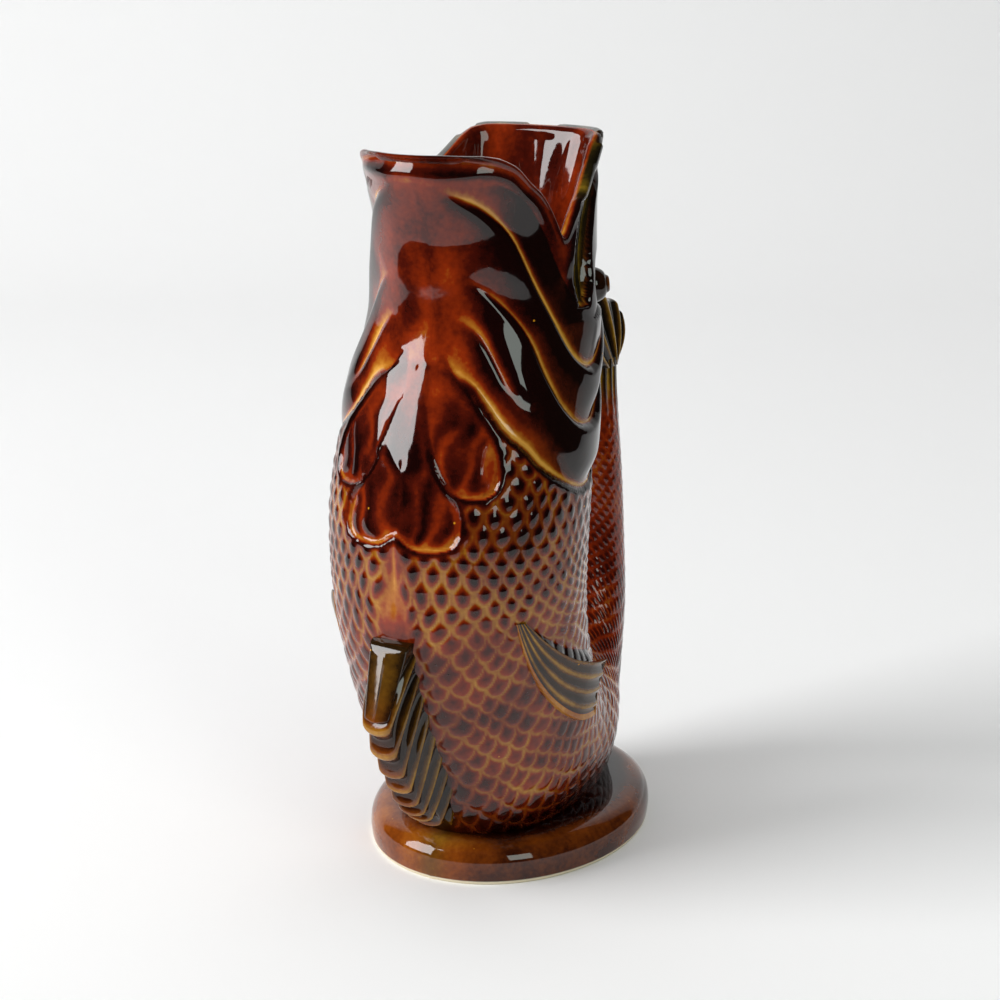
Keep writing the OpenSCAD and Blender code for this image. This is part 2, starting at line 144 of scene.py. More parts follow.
def build_mesh(
    name: str,
    points: np.ndarray,
    faces: list,
    normals: np.ndarray | None = None,
    values: dict | None = None,
) -> bpy.types.Object:
    """Makes a smooth mesh object.

    Args:
        name: The piece's name.
        points: Its points in millimetres.
        faces: Arrays of faces, each with 3 or 4 corners to a row.
        normals: One shading normal for each point, if they are given.
        values: Named numbers for each point, which its finish reads.

    Returns:
        The object, linked into the scene.
    """
    mesh = bpy.data.meshes.new(name)
    points = np.asarray(points, float).reshape(-1, 3)
    corners = np.concatenate([np.asarray(f).ravel() for f in faces])
    sizes = np.concatenate([np.full(len(f), np.asarray(f).shape[1]) for f in faces])
    starts = np.concatenate([[0], np.cumsum(sizes)[:-1]])
    mesh.vertices.add(len(points))
    mesh.vertices.foreach_set("co", (points * MM).astype(np.float32).ravel())
    mesh.loops.add(len(corners))
    mesh.loops.foreach_set("vertex_index", corners.astype(np.int32))
    mesh.polygons.add(len(sizes))
    mesh.polygons.foreach_set("loop_start", starts.astype(np.int32))
    mesh.update(calc_edges=True)
    mesh.polygons.foreach_set("use_smooth", np.ones(len(sizes), bool))
    for key, numbers in (values or {}).items():
        attribute = mesh.attributes.new(key, "FLOAT", "POINT")
        attribute.data.foreach_set("value", np.asarray(numbers, np.float32).ravel())
    if normals is not None:
        mesh.normals_split_custom_set_from_vertices(unit(normals).reshape(-1, 3).tolist())
    piece = bpy.data.objects.new(name, mesh)
    bpy.context.scene.collection.objects.link(piece)
    return piece


def band(rows: int, columns: int) -> np.ndarray:
    """Gives the faces between closed rings of points that follow each other."""
    i, j = np.meshgrid(np.arange(rows - 1), np.arange(columns), indexing="ij")
    a = i * columns + j
    b = i * columns + (j + 1) % columns
    return np.stack([a, b, b + columns, a + columns], -1).reshape(-1, 4)


def end_fans(rows: int, columns: int) -> list:
    """Gives the faces that close the first and the last ring, to two points that follow the rings."""
    j = np.arange(columns)
    k = (j + 1) % columns
    last, tip = (rows - 1) * columns, rows * columns
    return [
        np.stack([k, j, np.full(columns, tip)], -1),
        np.stack([last + j, last + k, np.full(columns, tip + 1)], -1),
    ]


def split_from(faces: np.ndarray, marked: np.ndarray) -> np.ndarray:
    """Turns each face of four corners so that it is split from its first marked corner."""
    start = marked.reshape(-1)[faces].argmax(1)
    return np.take_along_axis(faces, (start[:, None] + np.arange(4)) % 4, 1)


def ring_normals(rings: np.ndarray) -> np.ndarray:
    """Gives the outward normals of a surface of closed rings, one for each point."""
    around = np.roll(rings, -1, 1) - np.roll(rings, 1, 1)
    down = np.gradient(rings, axis=0)
    return unit(np.cross(around, down))


def lofted(
    name: str, rings: np.ndarray, values: dict | None = None, flip: bool = False
) -> bpy.types.Object:
    """Makes a closed piece through rings of points, closed at both ends by a fan.

    Args:
        name: The piece's name.
        rings: Points in millimetres, ring after ring.
        values: Named numbers for each point of the rings.
        flip: Whether the rings run the other way round.

    Returns:
        The object.
    """
    if flip:
        rings = rings[:, ::-1]
        values = {k: v[:, ::-1] for k, v in (values or {}).items()}
    rows, columns = rings.shape[:2]
    ends = np.stack([rings[0].mean(0), rings[-1].mean(0)])
    points = np.concatenate([rings.reshape(-1, 3), ends])
    axis = unit(ends[1:] - ends[:1])
    normals = np.concatenate([ring_normals(rings).reshape(-1, 3), -axis, axis])
    numbers = {
        key: np.concatenate([v.ravel(), [v[0].mean(), v[-1].mean()]])
        for key, v in (values or {}).items()
    }
    faces = [band(rows, columns), *end_fans(rows, columns)]
    return build_mesh(name, points, faces, normals, numbers)


# ---------------------------------------------------------------- the fish


@dataclass(frozen=True)
class FishForm:
    """The fish as one long skin, from its lips down the trunk, round the bend and up the tail."""

    height: float = 247.0
    depth: float = 153.0
    width: float = 86.0
    wall: float = 4.5
    notch: float = 29.0
    pinch: float = 5.5
    tail_row: float = 18.0
    last_row: float = 22.0
    hollow_end_row: float = 21.5
    lip_end_row: float = 4.0
    # Belly point and back point (depth and height), half width, where it is widest, roundness
    shares: tuple = (
        (-0.480, 0.994, 0.160, 1.000, 0.850, 0.60, 0.68),
        (-0.441, 0.955, 0.150, 0.964, 0.842, 0.57, 0.76),
        (-0.401, 0.899, 0.136, 0.903, 0.840, 0.55, 0.88),
        (-0.389, 0.838, 0.123, 0.838, 0.850, 0.53, 1),
        (-0.384, 0.773, 0.114, 0.773, 0.888, 0.51, 1),
        (-0.427, 0.696, 0.101, 0.704, 0.940, 0.50, 1),
        (-0.479, 0.615, 0.078, 0.628, 0.982, 0.49, 1),
        (-0.518, 0.530, 0.053, 0.551, 1.005, 0.49, 1),
        (-0.525, 0.445, 0.039, 0.478, 1.000, 0.495, 1),
        (-0.518, 0.356, 0.043, 0.409, 0.970, 0.516, 1),
        (-0.477, 0.267, 0.062, 0.352, 0.945, 0.51, 1),
        (-0.408, 0.170, 0.091, 0.308, 0.930, 0.505, 1),
        (-0.314, 0.057, 0.121, 0.275, 0.872, 0.52, 1),
        (-0.163, -0.004, 0.157, 0.253, 0.814, 0.54, 1),
        (0.020, -0.024, 0.203, 0.243, 0.744, 0.55, 1),
        (0.196, -0.004, 0.248, 0.249, 0.616, 0.55, 1),
        (0.324, 0.057, 0.281, 0.271, 0.488, 0.54, 1),
        (0.418, 0.146, 0.302, 0.308, 0.407, 0.52, 1),
        (0.469, 0.239, 0.315, 0.352, 0.362, 0.51, 1),
        (0.482, 0.340, 0.325, 0.409, 0.320, 0.50, 1),
        (0.481, 0.453, 0.332, 0.482, 0.284, 0.50, 1),
        (0.474, 0.567, 0.339, 0.575, 0.236, 0.50, 1),
        (0.477, 0.644, 0.343, 0.644, 0.212, 0.50, 1),
    )
    # Depth of the lips' edge round the mouth, from the spout (0) to the back of the head (1)
    lip_shares: tuple = (
        (0, 0), (0.21, 0), (0.25, 0.05), (0.29, 0.16), (0.35, 0.47), (0.385, 0.76), (0.41, 1),
        (0.45, 0.78), (0.50, 0.64), (0.60, 0.37), (0.70, 0.15), (0.76, 0.06), (0.84, 0.01), (1, 0),
    )
    pinch_places: tuple = (0.36, 0.60, 0.90)

    def rows(self) -> np.ndarray:
        """Gives the table of rows in millimetres."""
        sizes = (self.depth, self.height, self.depth, self.height, self.width / 2, 1, 1)
        return np.array(self.shares) * np.array(sizes)

    def lip_row(self, around: np.ndarray) -> np.ndarray:
        """Gives the row that the lips' edge follows at each place round the mouth."""
        fine = np.linspace(0, 1, 801)
        soft = read(self.lip_shares, fine)
        kernel = ridge(np.arange(-18, 19) * (fine[1] - fine[0]), 0.009)
        padded = np.concatenate([soft[18:0:-1], soft, soft[-2:-20:-1]])
        soft = np.convolve(padded, kernel / kernel.sum(), "valid")
        table = self.rows()[: int(self.lip_end_row) + 1]
        depths = self.height - (table[:, 1] + table[:, 3]) / 2
        depth = depths[0] + self.notch * np.interp(np.abs(around), fine, soft)
        return np.interp(depth, depths, np.arange(len(depths)))

    def below_lip(self, row: np.ndarray, around: np.ndarray) -> np.ndarray:
        """Closes up the rows near the lips so that the first one follows the lips' edge."""
        lip = self.lip_row(around)
        closed = lip + row * (self.lip_end_row - lip) / self.lip_end_row
        return np.where(row >= self.lip_end_row, row, closed)

    def pinched(self, row: np.ndarray, around: np.ndarray) -> np.ndarray:
        """Gives how far the cheeks are pinched in behind the notch."""
        start, most, end = self.pinch_places
        x = np.abs(around)
        rise = np.where(x < most, (x - start) / (most - start), (end - x) / (end - most))
        rise = np.sin(np.pi / 2 * np.clip(rise, 0, 1)) ** 2
        fade = np.cos(np.pi / 2 * np.clip(row / self.lip_end_row, 0, 1)) ** 2
        return self.pinch * fade * rise

    @staticmethod
    def ring_point(r: np.ndarray, around: np.ndarray, pinch: np.ndarray) -> np.ndarray:
        """Gives the point of a row's ring from the belly (0) to the back (1 or -1)."""
        angle = np.pi * np.abs(around)
        side = np.where(around < 0, -1.0, 1.0)
        front = angle < np.pi / 2
        sine, cosine = np.abs(np.sin(angle)), np.cos(angle)
        across = np.where(front, sine, sine ** r[..., 6])
        back = np.maximum(-cosine, 0) ** r[..., 6]
        deep = np.where(front, r[..., 5] * (1 - cosine), r[..., 5] + (1 - r[..., 5]) * back)
        return np.stack(
            [
                side * (r[..., 4] * across - pinch * smoothstep(0, 0.2, across)),
                mix(r[..., 0], r[..., 2], deep),
                mix(r[..., 1], r[..., 3], deep),
            ],
            -1,
        )

    def skin(self, row: np.ndarray, around: np.ndarray) -> np.ndarray:
        """Gives points of the plain skin."""
        row, around = np.broadcast_arrays(np.asarray(row, float), np.asarray(around, float))
        return self.ring_point(through(self.rows(), row), around, self.pinched(row, around))

    def hollow(self, row: np.ndarray, around: np.ndarray) -> np.ndarray:
        """Gives points of the hollow, the wall's thickness inside the skin."""
        row, around = np.broadcast_arrays(np.asarray(row, float), np.asarray(around, float))
        r = through(self.rows(), row)
        share = self.wall / np.hypot(r[..., 2] - r[..., 0], r[..., 3] - r[..., 1])
        ends = mix(r[..., :4], r[..., [2, 3, 0, 1]], share[..., None])
        drawn = np.concatenate([ends, r[..., 4:5] - self.wall, r[..., 5:]], -1)
        return self.ring_point(drawn, around, self.pinched(row, around))

    def over_skin(self, around: np.ndarray, row: np.ndarray, lift: np.ndarray) -> np.ndarray:
        """Gives points a height over the skin (or under it, where the lift is negative)."""
        step = 0.01
        across = self.skin(row, around + step) - self.skin(row, around - step)
        down = self.skin(row + step, around) - self.skin(row - step, around)
        out = unit(np.cross(down, across))
        return self.skin(row, around) + np.asarray(lift)[..., None] * out


@dataclass
class SkinGrid:
    """The fish's skin laid out as rows of points, with true distances over it."""

    form: FishForm
    columns: int = 400
    step: float = 0.62
    # The rows follow each other evenly along a line on the flank, but for those that roll over the lips
    side_share: float = 0.45
    lip_lengths: tuple = (0, 0.12, 0.28, 0.48, 0.72, 1.0, 1.34, 1.74, 2.2, 2.7)
    even_from: float = 3.3
    lip_rows: int = 60
    fine_rows: int = 2201
    table_step: int = 10
    table_columns: int = 181

    def __post_init__(self) -> None:
        """Lays out the rows and measures the skin."""
        form = self.form
        self.fine = np.linspace(0, form.last_row, self.fine_rows)
        side = form.skin(self.fine, np.full_like(self.fine, self.side_share))
        runs = np.linalg.norm(np.diff(side, axis=0), axis=1)
        self.fine_length = np.concatenate([[0], np.cumsum(runs)])
        sparse = self.fine[:: self.table_step]
        table = form.skin(sparse[:, None], np.linspace(0, 1, self.table_columns)[None])
        runs = np.cumsum(np.linalg.norm(np.diff(table, axis=1), axis=2), 1)
        self.arcs = np.concatenate([np.zeros((len(table), 1)), runs], 1)
        seat = np.interp(form.tail_row, self.fine, self.fine_length)
        last = self.fine_length[-1]
        trunk = np.linspace(self.even_from, seat, int((seat - self.even_from) / self.step))
        tail = np.linspace(seat, last, int((last - seat) / self.step))[1:]
        self.length = np.concatenate([self.lip_lengths, trunk, tail])
        self.rows = np.interp(self.length, self.fine_length, self.fine)
        self.seat = len(self.lip_lengths) + len(trunk) - 1
        self.around = np.linspace(-1, 1, self.columns, endpoint=False)
        self.v, self.u = np.meshgrid(self.rows, self.around, indexing="ij")
        true_row = form.below_lip(self.v, self.u)
        self.plain = form.skin(true_row, self.u)
        self.out = ring_normals(self.plain)
        flat = self.flat(self.u, true_row)
        self.arc, self.down = np.abs(flat[..., 0]), flat[..., 1]
        self.neck_arc = self.arc[self.lip_rows]
        self.half = np.interp(self.rows, sparse, self.arcs[:, -1])[:, None]
        self.share = np.gradient(self.length)
        self.below = np.full(self.u.shape, FAR)
        near = self.plain[: self.lip_rows]
        self.below[: self.lip_rows] = [ring_distance(row, self.plain[0]) for row in near]

    def blur(self, values: np.ndarray, sigma: float) -> np.ndarray:
        """Softens values over the skin by a distance in millimetres."""
        waves = np.arange(self.columns // 2 + 1) / (2 * self.half)
        spectrum = np.fft.rfft(values, axis=1) * np.exp(-2 * (np.pi * sigma * waves) ** 2)
        soft = np.fft.irfft(spectrum, n=self.columns, axis=1)
        gap = self.length[:, None] - self.length[None]
        weight = np.exp(-0.5 * (gap / sigma) ** 2) * self.share[None]
        return (weight / weight.sum(1, keepdims=True)) @ soft

    def flat(self, around: np.ndarray, row: np.ndarray) -> np.ndarray:
        """Lays places on the fish out flat, in millimetres."""
        around, row = np.broadcast_arrays(np.asarray(around, float), np.asarray(row, float))
        rows, columns = self.arcs.shape
        a = np.clip(np.abs(around), 0, 1) * (columns - 1)
        b = np.clip(row / self.form.last_row, 0, 1) * (rows - 1)
        i = np.minimum(a.astype(int), columns - 2)
        j = np.minimum(b.astype(int), rows - 2)
        near = mix(self.arcs[j, i], self.arcs[j, i + 1], a - i)
        far = mix(self.arcs[j + 1, i], self.arcs[j + 1, i + 1], a - i)
        arc = mix(near, far, b - j)
        return np.stack(
            [np.where(around < 0, -arc, arc), np.interp(row, self.fine, self.fine_length)], -1
        )


@dataclass
class Line:
    """A carved line over the fish, laid out flat."""

    grid: SkinGrid
    places: tuple
    runs: int = 28

    def measure(self, reach: float) -> tuple:
        """Measures every point of the skin from the line.

        Args:
            reach: Row beyond which nothing is measured.

        Returns:
            Signed distances in millimetres (positive on the tailward side) and the shares of the
            line's length at which each point lies (below 0 before its start).
        """
        g = self.grid
        at = curve(self.places, np.linspace(0, 1, self.runs + 1))
        line = g.flat(at[:, 0], at[:, 1])
        count = int(np.searchsorted(g.rows, reach))
        spots = np.stack([g.arc[:count], g.down[:count]], -1)
        best = np.full(spots.shape[:2], np.inf)
        signed, share = np.zeros_like(best), np.zeros_like(best)
        for i in range(self.runs):
            run = line[i + 1] - line[i]
            low = -np.inf if i == 0 else 0
            high = np.inf if i == self.runs - 1 else 1
            t = np.clip(((spots - line[i]) @ run) / (run @ run), low, high)
            off = spots - line[i] - t[..., None] * run
            distance = np.hypot(off[..., 0], off[..., 1])
            nearer = distance < best
            best = np.where(nearer, distance, best)
            side = np.sign(run[0] * off[..., 1] - run[1] * off[..., 0])
            signed = np.where(nearer, distance * side, signed)
            share = np.where(nearer, (i + t) / self.runs, share)
        away, place = np.full(g.u.shape, FAR), np.full(g.u.shape, 2.0)
        away[:count], place[:count] = signed, share
        return away, place


def inside_distance(grid: SkinGrid, places: tuple, reach: float) -> np.ndarray:
    """Measures how far each point of the skin is inside a closed outline.

    Args:
        grid: The skin.
        places: The outline as places round the fish and rows.
        reach: Row beyond which nothing is measured.

    Returns:
        Distances in millimetres, negative outside.
    """
    closed = np.array([*places, *places[:3]], float)
    fine = through(closed, np.linspace(1, len(places) + 1, 97))
    line = grid.flat(fine[:, 0], fine[:, 1])
    count = int(np.searchsorted(grid.rows, reach))
    x, y = grid.arc[:count], grid.down[:count]
    best = np.full(x.shape, np.inf)
    inside = np.zeros(x.shape, bool)
    for (ax, ay), (bx, by) in zip(line[:-1], line[1:]):
        rx, ry = bx - ax, by - ay
        t = np.clip(((x - ax) * rx + (y - ay) * ry) / max(rx * rx + ry * ry, 1e-9), 0, 1)
        best = np.minimum(best, np.hypot(x - ax - t * rx, y - ay - t * ry))
        crosses = (ay > y) != (by > y)
        with np.errstate(divide="ignore", invalid="ignore"):
            cut = ax + (y - ay) * rx / ry
        inside ^= crosses & (x < cut)
    out = np.full(grid.u.shape, -FAR)
    out[:count] = np.where(inside, best, -best)
    return out


# ---------------------------------------------------------------- relief


class Part(Enum):
    """Which piece a patch of the skin belongs to."""

    SKIN = 0
    GILL_COVER = 1
    BREAST_FIN = 2
    JAW_LOBE = 3


@dataclass(frozen=True)
class Ridge:
    """One raised line of the gill covers, a plate that rises to it and the step below it.

    Args:
        places: Places round the fish and rows along it.
        strength: Shares of its length with the share of its height there.
        lift: Height of its crest in millimetres.
        rise: How wide the plate above it is.
        tone: How thin the glaze has run on its crest.
        wide: Half width of the thin glaze.
    """

    places: tuple
    strength: tuple
    lift: float
    rise: float
    tone: float
    wide: float


@dataclass(frozen=True)
class Carving:
    """What one kind of carving does to the skin, at each of its points.

    Args:
        height: Heights over the plain skin in millimetres.
        inside: Distances inside its outline, or a mask of where it lies.
        tone: How thin the glaze lies on it.
        over: How far it keeps the scales off, from 0 to 1.
    """

    height: np.ndarray
    inside: np.ndarray
    tone: np.ndarray
    over: np.ndarray | None = None


@dataclass
class Relief:
    """Everything that is carved or pressed into the fish's skin, as heights over it.

    Beside the heights it works out how thin the glaze lies at each point ("pool", from 0 in the
    deepest pits to 1 on bare edges, with painted shade behind the side fins, low on the body and on
    the tail) and how green it is ("olive").
    """

    grid: SkinGrid
    breast_lift: float = 1.7
    jaw_lift: float = 5.0
    scale_depth: float = 0.5
    # Tones of the open scales by row; the dip on the tail's skin (rows 17 to 18.5) is painted shade
    scale_tones: tuple = (
        (8.0, 0.36), (9.2, 0.47), (15, 0.47), (17, 0.38), (18.5, 0.37), (19.6, 0.43),
    )
    seed: int = 11
    # How far the glaze softens what is carved, and how wide it runs off what stands proud
    soften: float = 0.40
    run_off: tuple = (1.6, 4.5)
    covers_start: tuple = (
        (0.09, 0.95), (0.14, 1.00), (0.20, 1.02), (0.236, 0.97), (0.281, 1.30), (0.317, 1.75),
        (0.372, 2.72), (0.44, 3.5), (0.53, 4.0), (0.61, 3.7),
    )
    ridges: tuple = (
        Ridge(
            ((0.128, 1.22), (0.186, 1.57), (0.242, 2.10), (0.289, 2.84), (0.339, 3.65),
             (0.392, 4.23), (0.458, 4.67), (0.54, 4.85), (0.62, 4.5)),
            ((-0.14, 0), (0.02, 0.5), (0.16, 1), (0.85, 1), (1, 0.5)), 2.7, 17.0, 0.66, 1.3,
        ),
        Ridge(
            ((0.139, 3.01), (0.20, 3.43), (0.283, 4.16), (0.342, 4.80), (0.414, 5.38),
             (0.50, 5.75), (0.60, 5.7), (0.70, 4.9)),
            ((-0.05, 0), (0.10, 0.35), (0.30, 0.9), (0.85, 1), (1, 0.5)), 2.6, 14.0, 0.53, 1.0,
        ),
        Ridge(
            ((0.108, 3.79), (0.156, 4.09), (0.214, 4.72), (0.253, 5.11), (0.30, 5.45)),
            ((-0.15, 0), (0.2, 0.6), (0.55, 1), (1.0, 0.15), (1.1, 0)), 1.2, 5.0, 0.52, 1.1,
        ),
        Ridge(
            ((0.056, 4.55), (0.139, 4.80), (0.189, 5.14), (0.247, 5.58), (0.306, 5.87),
             (0.364, 6.22), (0.461, 6.61), (0.56, 6.8), (0.67, 6.6), (0.78, 5.3)),
            ((-0.10, 0), (0.0, 0.15), (0.12, 0.6), (0.25, 1), (0.88, 1), (1, 0.5)), 2.4, 10.0, 0.60, 1.0,
        ),
    )
    outer_lobe: tuple = (
        (0.05, 4.4), (0.10, 4.72), (0.161, 5.24), (0.205, 5.55), (0.233, 5.87), (0.246, 6.18),
        (0.242, 6.44), (0.222, 6.55), (0.195, 6.57), (0.153, 6.54), (0.118, 6.42), (0.083, 6.12),
        (0.05, 5.6), (0.03, 5.0),
    )
    middle_lobe: tuple = (
        (-0.03, 4.6), (0.04, 5.2), (0.065, 5.7), (0.083, 6.12), (0.12, 6.42), (0.15, 6.65),
        (0.164, 6.95), (0.155, 7.22), (0.13, 7.33), (0.09, 7.36), (0.045, 7.33), (0.0, 7.16),
        (-0.03, 7.1), (-0.04, 6.0),
    )
    # Rows at which each lobe starts to rise and at which its lower edge turns bright
    outer_rows: tuple = (4.5, 6.0)
    middle_rows: tuple = (4.9, 6.8)
    jaw_places: tuple = (
        (0.77, 0.75), (0.70, 0.98), (0.60, 1.38), (0.54, 1.95), (0.505, 2.65), (0.492, 3.25), (0.488, 3.6),
    )
    jaw_halves: tuple = (3.6, 4.8, 5.6, 6.2, 6.4, 6.0, 3.4)
    jaw_lifts: tuple = (0.30, 0.48, 0.76, 1.0, 1.04, 1.0, 0.8)
    jaw_end: float = 3.0
    eye_place: tuple = EYE_PLACE
    pocket_line: tuple = SIDE_FIN_EDGE
    pocket_depth: float = 2.6
    # Rows beyond which the lines and outlines of the head, the jaws and the pockets have no reach
    head_reach: float = 9.0
    jaw_reach: float = 6.0
    pocket_reach: float = 12.0

    def __post_init__(self) -> None:
        """Carves each kind of relief, then works out the heights, the glaze and the patches."""
        self.random = np.random.default_rng(self.seed)
        self.broad = self.noise(9.0)
        self.cover, self.lobe, self.jaw = self.covers(), self.lobes(), self.jaws()
        self.scale, self.net = self.scales()
        self.lobed = smoothstep(-0.6, 0.8, self.lobe.inside)
        self.jawed = smoothstep(0, 0.8, self.jaw.inside)
        self.open_skin = (1 - np.maximum(self.cover.over, self.lobe.over)) * self.scale_mask()
        height = self.carved()
        pocket = self.pocket()
        self.height = height - self.pocket_depth * self.grid.blur(pocket, 0.5)
        # Painted shade: the pockets behind the side fins take the darkest tone
        self.pool = np.clip(mix(self.thinness_and_shade(height), 0.0, smoothstep(0, 0.35, pocket)), 0, 1)
        self.olive = self.greenness()
        self.label = self.patches()

    def carved(self) -> np.ndarray:
        """Adds up the heights over the plain skin, all but the pockets behind the side fins."""
        g, jaw = self.grid, self.jaw
        height = np.maximum(self.cover.height * (1 - 0.5 * self.lobed), self.lobe.height)
        height += 0.26 * self.broad * (1 - self.open_skin) * smoothstep(2, 8, g.below)
        height += self.scale * self.open_skin + self.lip_bands() + self.seam() + self.tail_ribs()
        height = np.where(jaw.inside > 0, np.maximum(height, jaw.height), height) + self.orbit()
        return g.blur(height, self.soften)

    def thinness_and_shade(self, height: np.ndarray) -> np.ndarray:
        """Gives how thin the glaze has run at each point, with painted shade low on the body and on the
        tail.

        Args:
            height: The carved heights. The glaze runs off what stands above the skin round it.

        Returns:
            Its tone, from 0 in the deepest pits to 1 on bare edges.
        """
        g, broad = self.grid, self.broad
        x = np.abs(g.u)
        fine, wide = (height - g.blur(height, size) for size in self.run_off)
        proud = np.clip(0.45 * fine / 0.62, -0.2, 0.2) + np.clip(0.45 * wide / 3.0, -0.2, 0.15)
        rays = np.cos(2 * np.pi * g.u / 0.11 + 1.3 * broad) * smoothstep(1.8, 3.0, g.v)
        tone = mix(0.40 + 0.05 * broad, self.cover.tone + 0.035 * broad, self.cover.inside)
        tone -= 0.24 * smoothstep(0.39, 0.44, x) * smoothstep(0.7, 0.6, x) * (g.v < 4)
        tone += 0.07 * rays * smoothstep(5.5, 4.5, g.v) * smoothstep(0.3, 0.2, x)
        tone = mix(tone, self.lobe.tone, self.lobed) + proud * (1 - 0.8 * self.open_skin)
        tone = mix(tone, read(self.scale_tones, g.v) + self.net + 0.035 * broad, self.open_skin)
        tone = mix(tone + self.lip_tone(), self.jaw.tone, self.jawed)
        tone += 0.16 * ridge(g.v - 7.35, 0.25) * ridge(g.arc, 0.8)
        # Painted shade: darker low on the body, below about 34 mm, where it meets the foot
        return tone - 0.22 * smoothstep(11.0, 12.2, g.v) * smoothstep(34, 17, g.plain[..., 2])

    def greenness(self) -> np.ndarray:
        """Gives how olive the glaze is on the jaws, the gill covers, the scales and the tail's end."""
        g = self.grid
        plate = self.cover.inside * smoothstep(0.2, 0.45, np.abs(g.u))
        rims = 0.45 * np.clip(self.net / 0.2, 0, 1) * self.open_skin * smoothstep(16, 13, g.v)
        green = np.maximum(g.blur(self.jawed, 1.0), 0.35 * plate + rims)
        return np.clip(np.maximum(green, 0.9 * smoothstep(20.8, 21.6, g.v)), 0, 1)

    def patches(self) -> np.ndarray:
        """Gives the number of the part that each point of the skin belongs to."""
        label = np.full(self.grid.u.shape, Part.SKIN.value)
        label[(self.cover.inside > 0.3) & (np.abs(self.grid.u) > 0.02)] = Part.GILL_COVER.value
        label[self.lobe.inside > 0.2] = Part.BREAST_FIN.value
        label[self.jaw.inside > 0.2] = Part.JAW_LOBE.value
        return label

    def tones(self) -> dict:
        """Gives the numbers that the glaze reads at each point of the skin, by name."""
        return {"pool": self.pool, "olive": self.olive}

    def noise(self, size: float) -> np.ndarray:
        """Gives the repeatable unevenness of work by hand, of a size in millimetres."""
        rough = self.grid.blur(self.random.standard_normal(self.grid.u.shape), size)
        return rough / rough.std(axis=1, keepdims=True).mean()

    def covers(self) -> Carving:
        """Carves the gill covers' plates, each up to its ridge."""
        g = self.grid
        start, _ = Line(g, self.covers_start).measure(self.head_reach)
        height, crest, toned, trough = np.zeros((4, *g.u.shape))
        for line in self.ridges:
            away, place = Line(g, line.places).measure(self.head_reach)
            strength = read(line.strength, place) * (place < 1.5)
            shape = np.where(away < 0, smoothstep(-line.rise, -0.3, away), smoothstep(2.5, 0, away))
            height = np.maximum(height, line.lift * strength * shape)
            thin = strength * ridge(away, np.where(away < 0, 1.25, 0.75) * line.wide)
            toned = np.where(thin > crest, line.tone, toned)
            crest = np.maximum(crest, thin)
            trough = np.maximum(trough, strength * ridge(away - 3.6, 2.0))
        side = smoothstep(0.13, 0.27, np.abs(g.u) + 0.02 * self.noise(6.0))
        tone = mix(0.37, 0.47, smoothstep(3.2, 4.4, g.v))
        tone = tone - 0.26 * side - 0.16 * trough * (1 - 0.5 * side)
        tone = mix(tone, toned, np.clip(1.25 * crest, 0, 1))
        on = smoothstep(-0.4, 0.6, start) * smoothstep(3.0, 1.6, away)
        return Carving(height, on * (np.abs(g.u) < 0.9), tone, smoothstep(3.6, 1.6, away))

    def lobes(self) -> Carving:
        """Carves the breast fins' lobes, the middle one over the outer one."""
        g = self.grid
        height = np.zeros(g.u.shape)
        most = np.full(g.u.shape, -FAR)
        tone = np.full(g.u.shape, 0.42)
        rough = self.noise(3.5)
        plan = ((self.outer_lobe, *self.outer_rows), (self.middle_lobe, *self.middle_rows))
        for places, root, bottom in plan:
            inside = inside_distance(g, places, self.head_reach)
            grow = smoothstep(root, root + 2.0, g.v)
            fan = (np.abs(g.u) + 0.02 * (g.v - 5)) / 0.066 + 0.22 * rough
            streaks = np.cos(2 * np.pi * fan) * smoothstep(0.8, 3, inside)
            body = 0.92 + 0.08 * ridge(inside - 0.8, 0.9) + 0.07 * streaks
            edge = np.sqrt(np.clip(1 - (1 - np.clip(inside / 2.4, 0, 1)) ** 2, 0, 1))
            lift = self.breast_lift * grow * body * edge
            low = smoothstep(bottom, bottom + 0.45, g.v)
            shade = 0.37 + 0.09 * streaks * grow - 0.13 * grow + 0.06 * rough
            line = ridge(inside, mix(0.35, 0.9, low)) * smoothstep(root + 0.9, root + 1.7, g.v)
            shade = mix(shade, mix(0.50, 0.68, low), line)
            tone = np.where(lift > height, shade, tone)
            height = np.maximum(height, lift)
            most = np.maximum(most, inside)
        return Carving(height, most, tone, smoothstep(-2.6, -0.6, most))

    def jaws(self) -> Carving:
        """Carves the straps outside the back lip."""
        g = self.grid
        distance, place = Line(g, self.jaw_places).measure(self.jaw_reach)
        place = np.clip(place, 0, 1)
        half = along(self.jaw_halves, place)
        past_end = g.down - g.flat(*self.jaw_places[-1])[1]
        beyond = np.clip(past_end / self.jaw_end, 0, 1)
        inside = np.minimum(half - np.abs(distance), self.jaw_end - past_end)
        dome = np.sqrt(np.clip(1 - (np.abs(distance) / half) ** 2.4, 0, 1))
        lift = self.jaw_lift * along(self.jaw_lifts, place) * np.sqrt(1 - beyond**2)
        streaks = np.sin(2 * np.pi * distance / 3.4 + 2.0 * place)
        lift = lift * dome - 0.22 * (1 - streaks) * smoothstep(0.3, 0.6, place)
        tone = 0.38 + 0.16 * streaks + 0.35 * ridge(inside - 0.5, 0.7) * smoothstep(0.6, 0.9, place)
        return Carving(np.maximum(lift, 0), np.where(g.v < self.jaw_reach, inside, -FAR), tone)

    def orbit(self) -> np.ndarray:
        """Carves the raised ring round each eye."""
        g = self.grid
        spot = g.flat(*self.eye_place)
        away = np.hypot(g.arc - spot[0], g.down - spot[1])
        return 2.9 * ridge(away - 7.0, 2.6) * (g.v < 7)

    def below_groove(self) -> np.ndarray:
        """Gives how far each point lies below the groove that runs under the lip."""
        g = self.grid
        return g.below - mix(6.4, 4.4, smoothstep(0.15, 0.32, np.abs(g.u)))

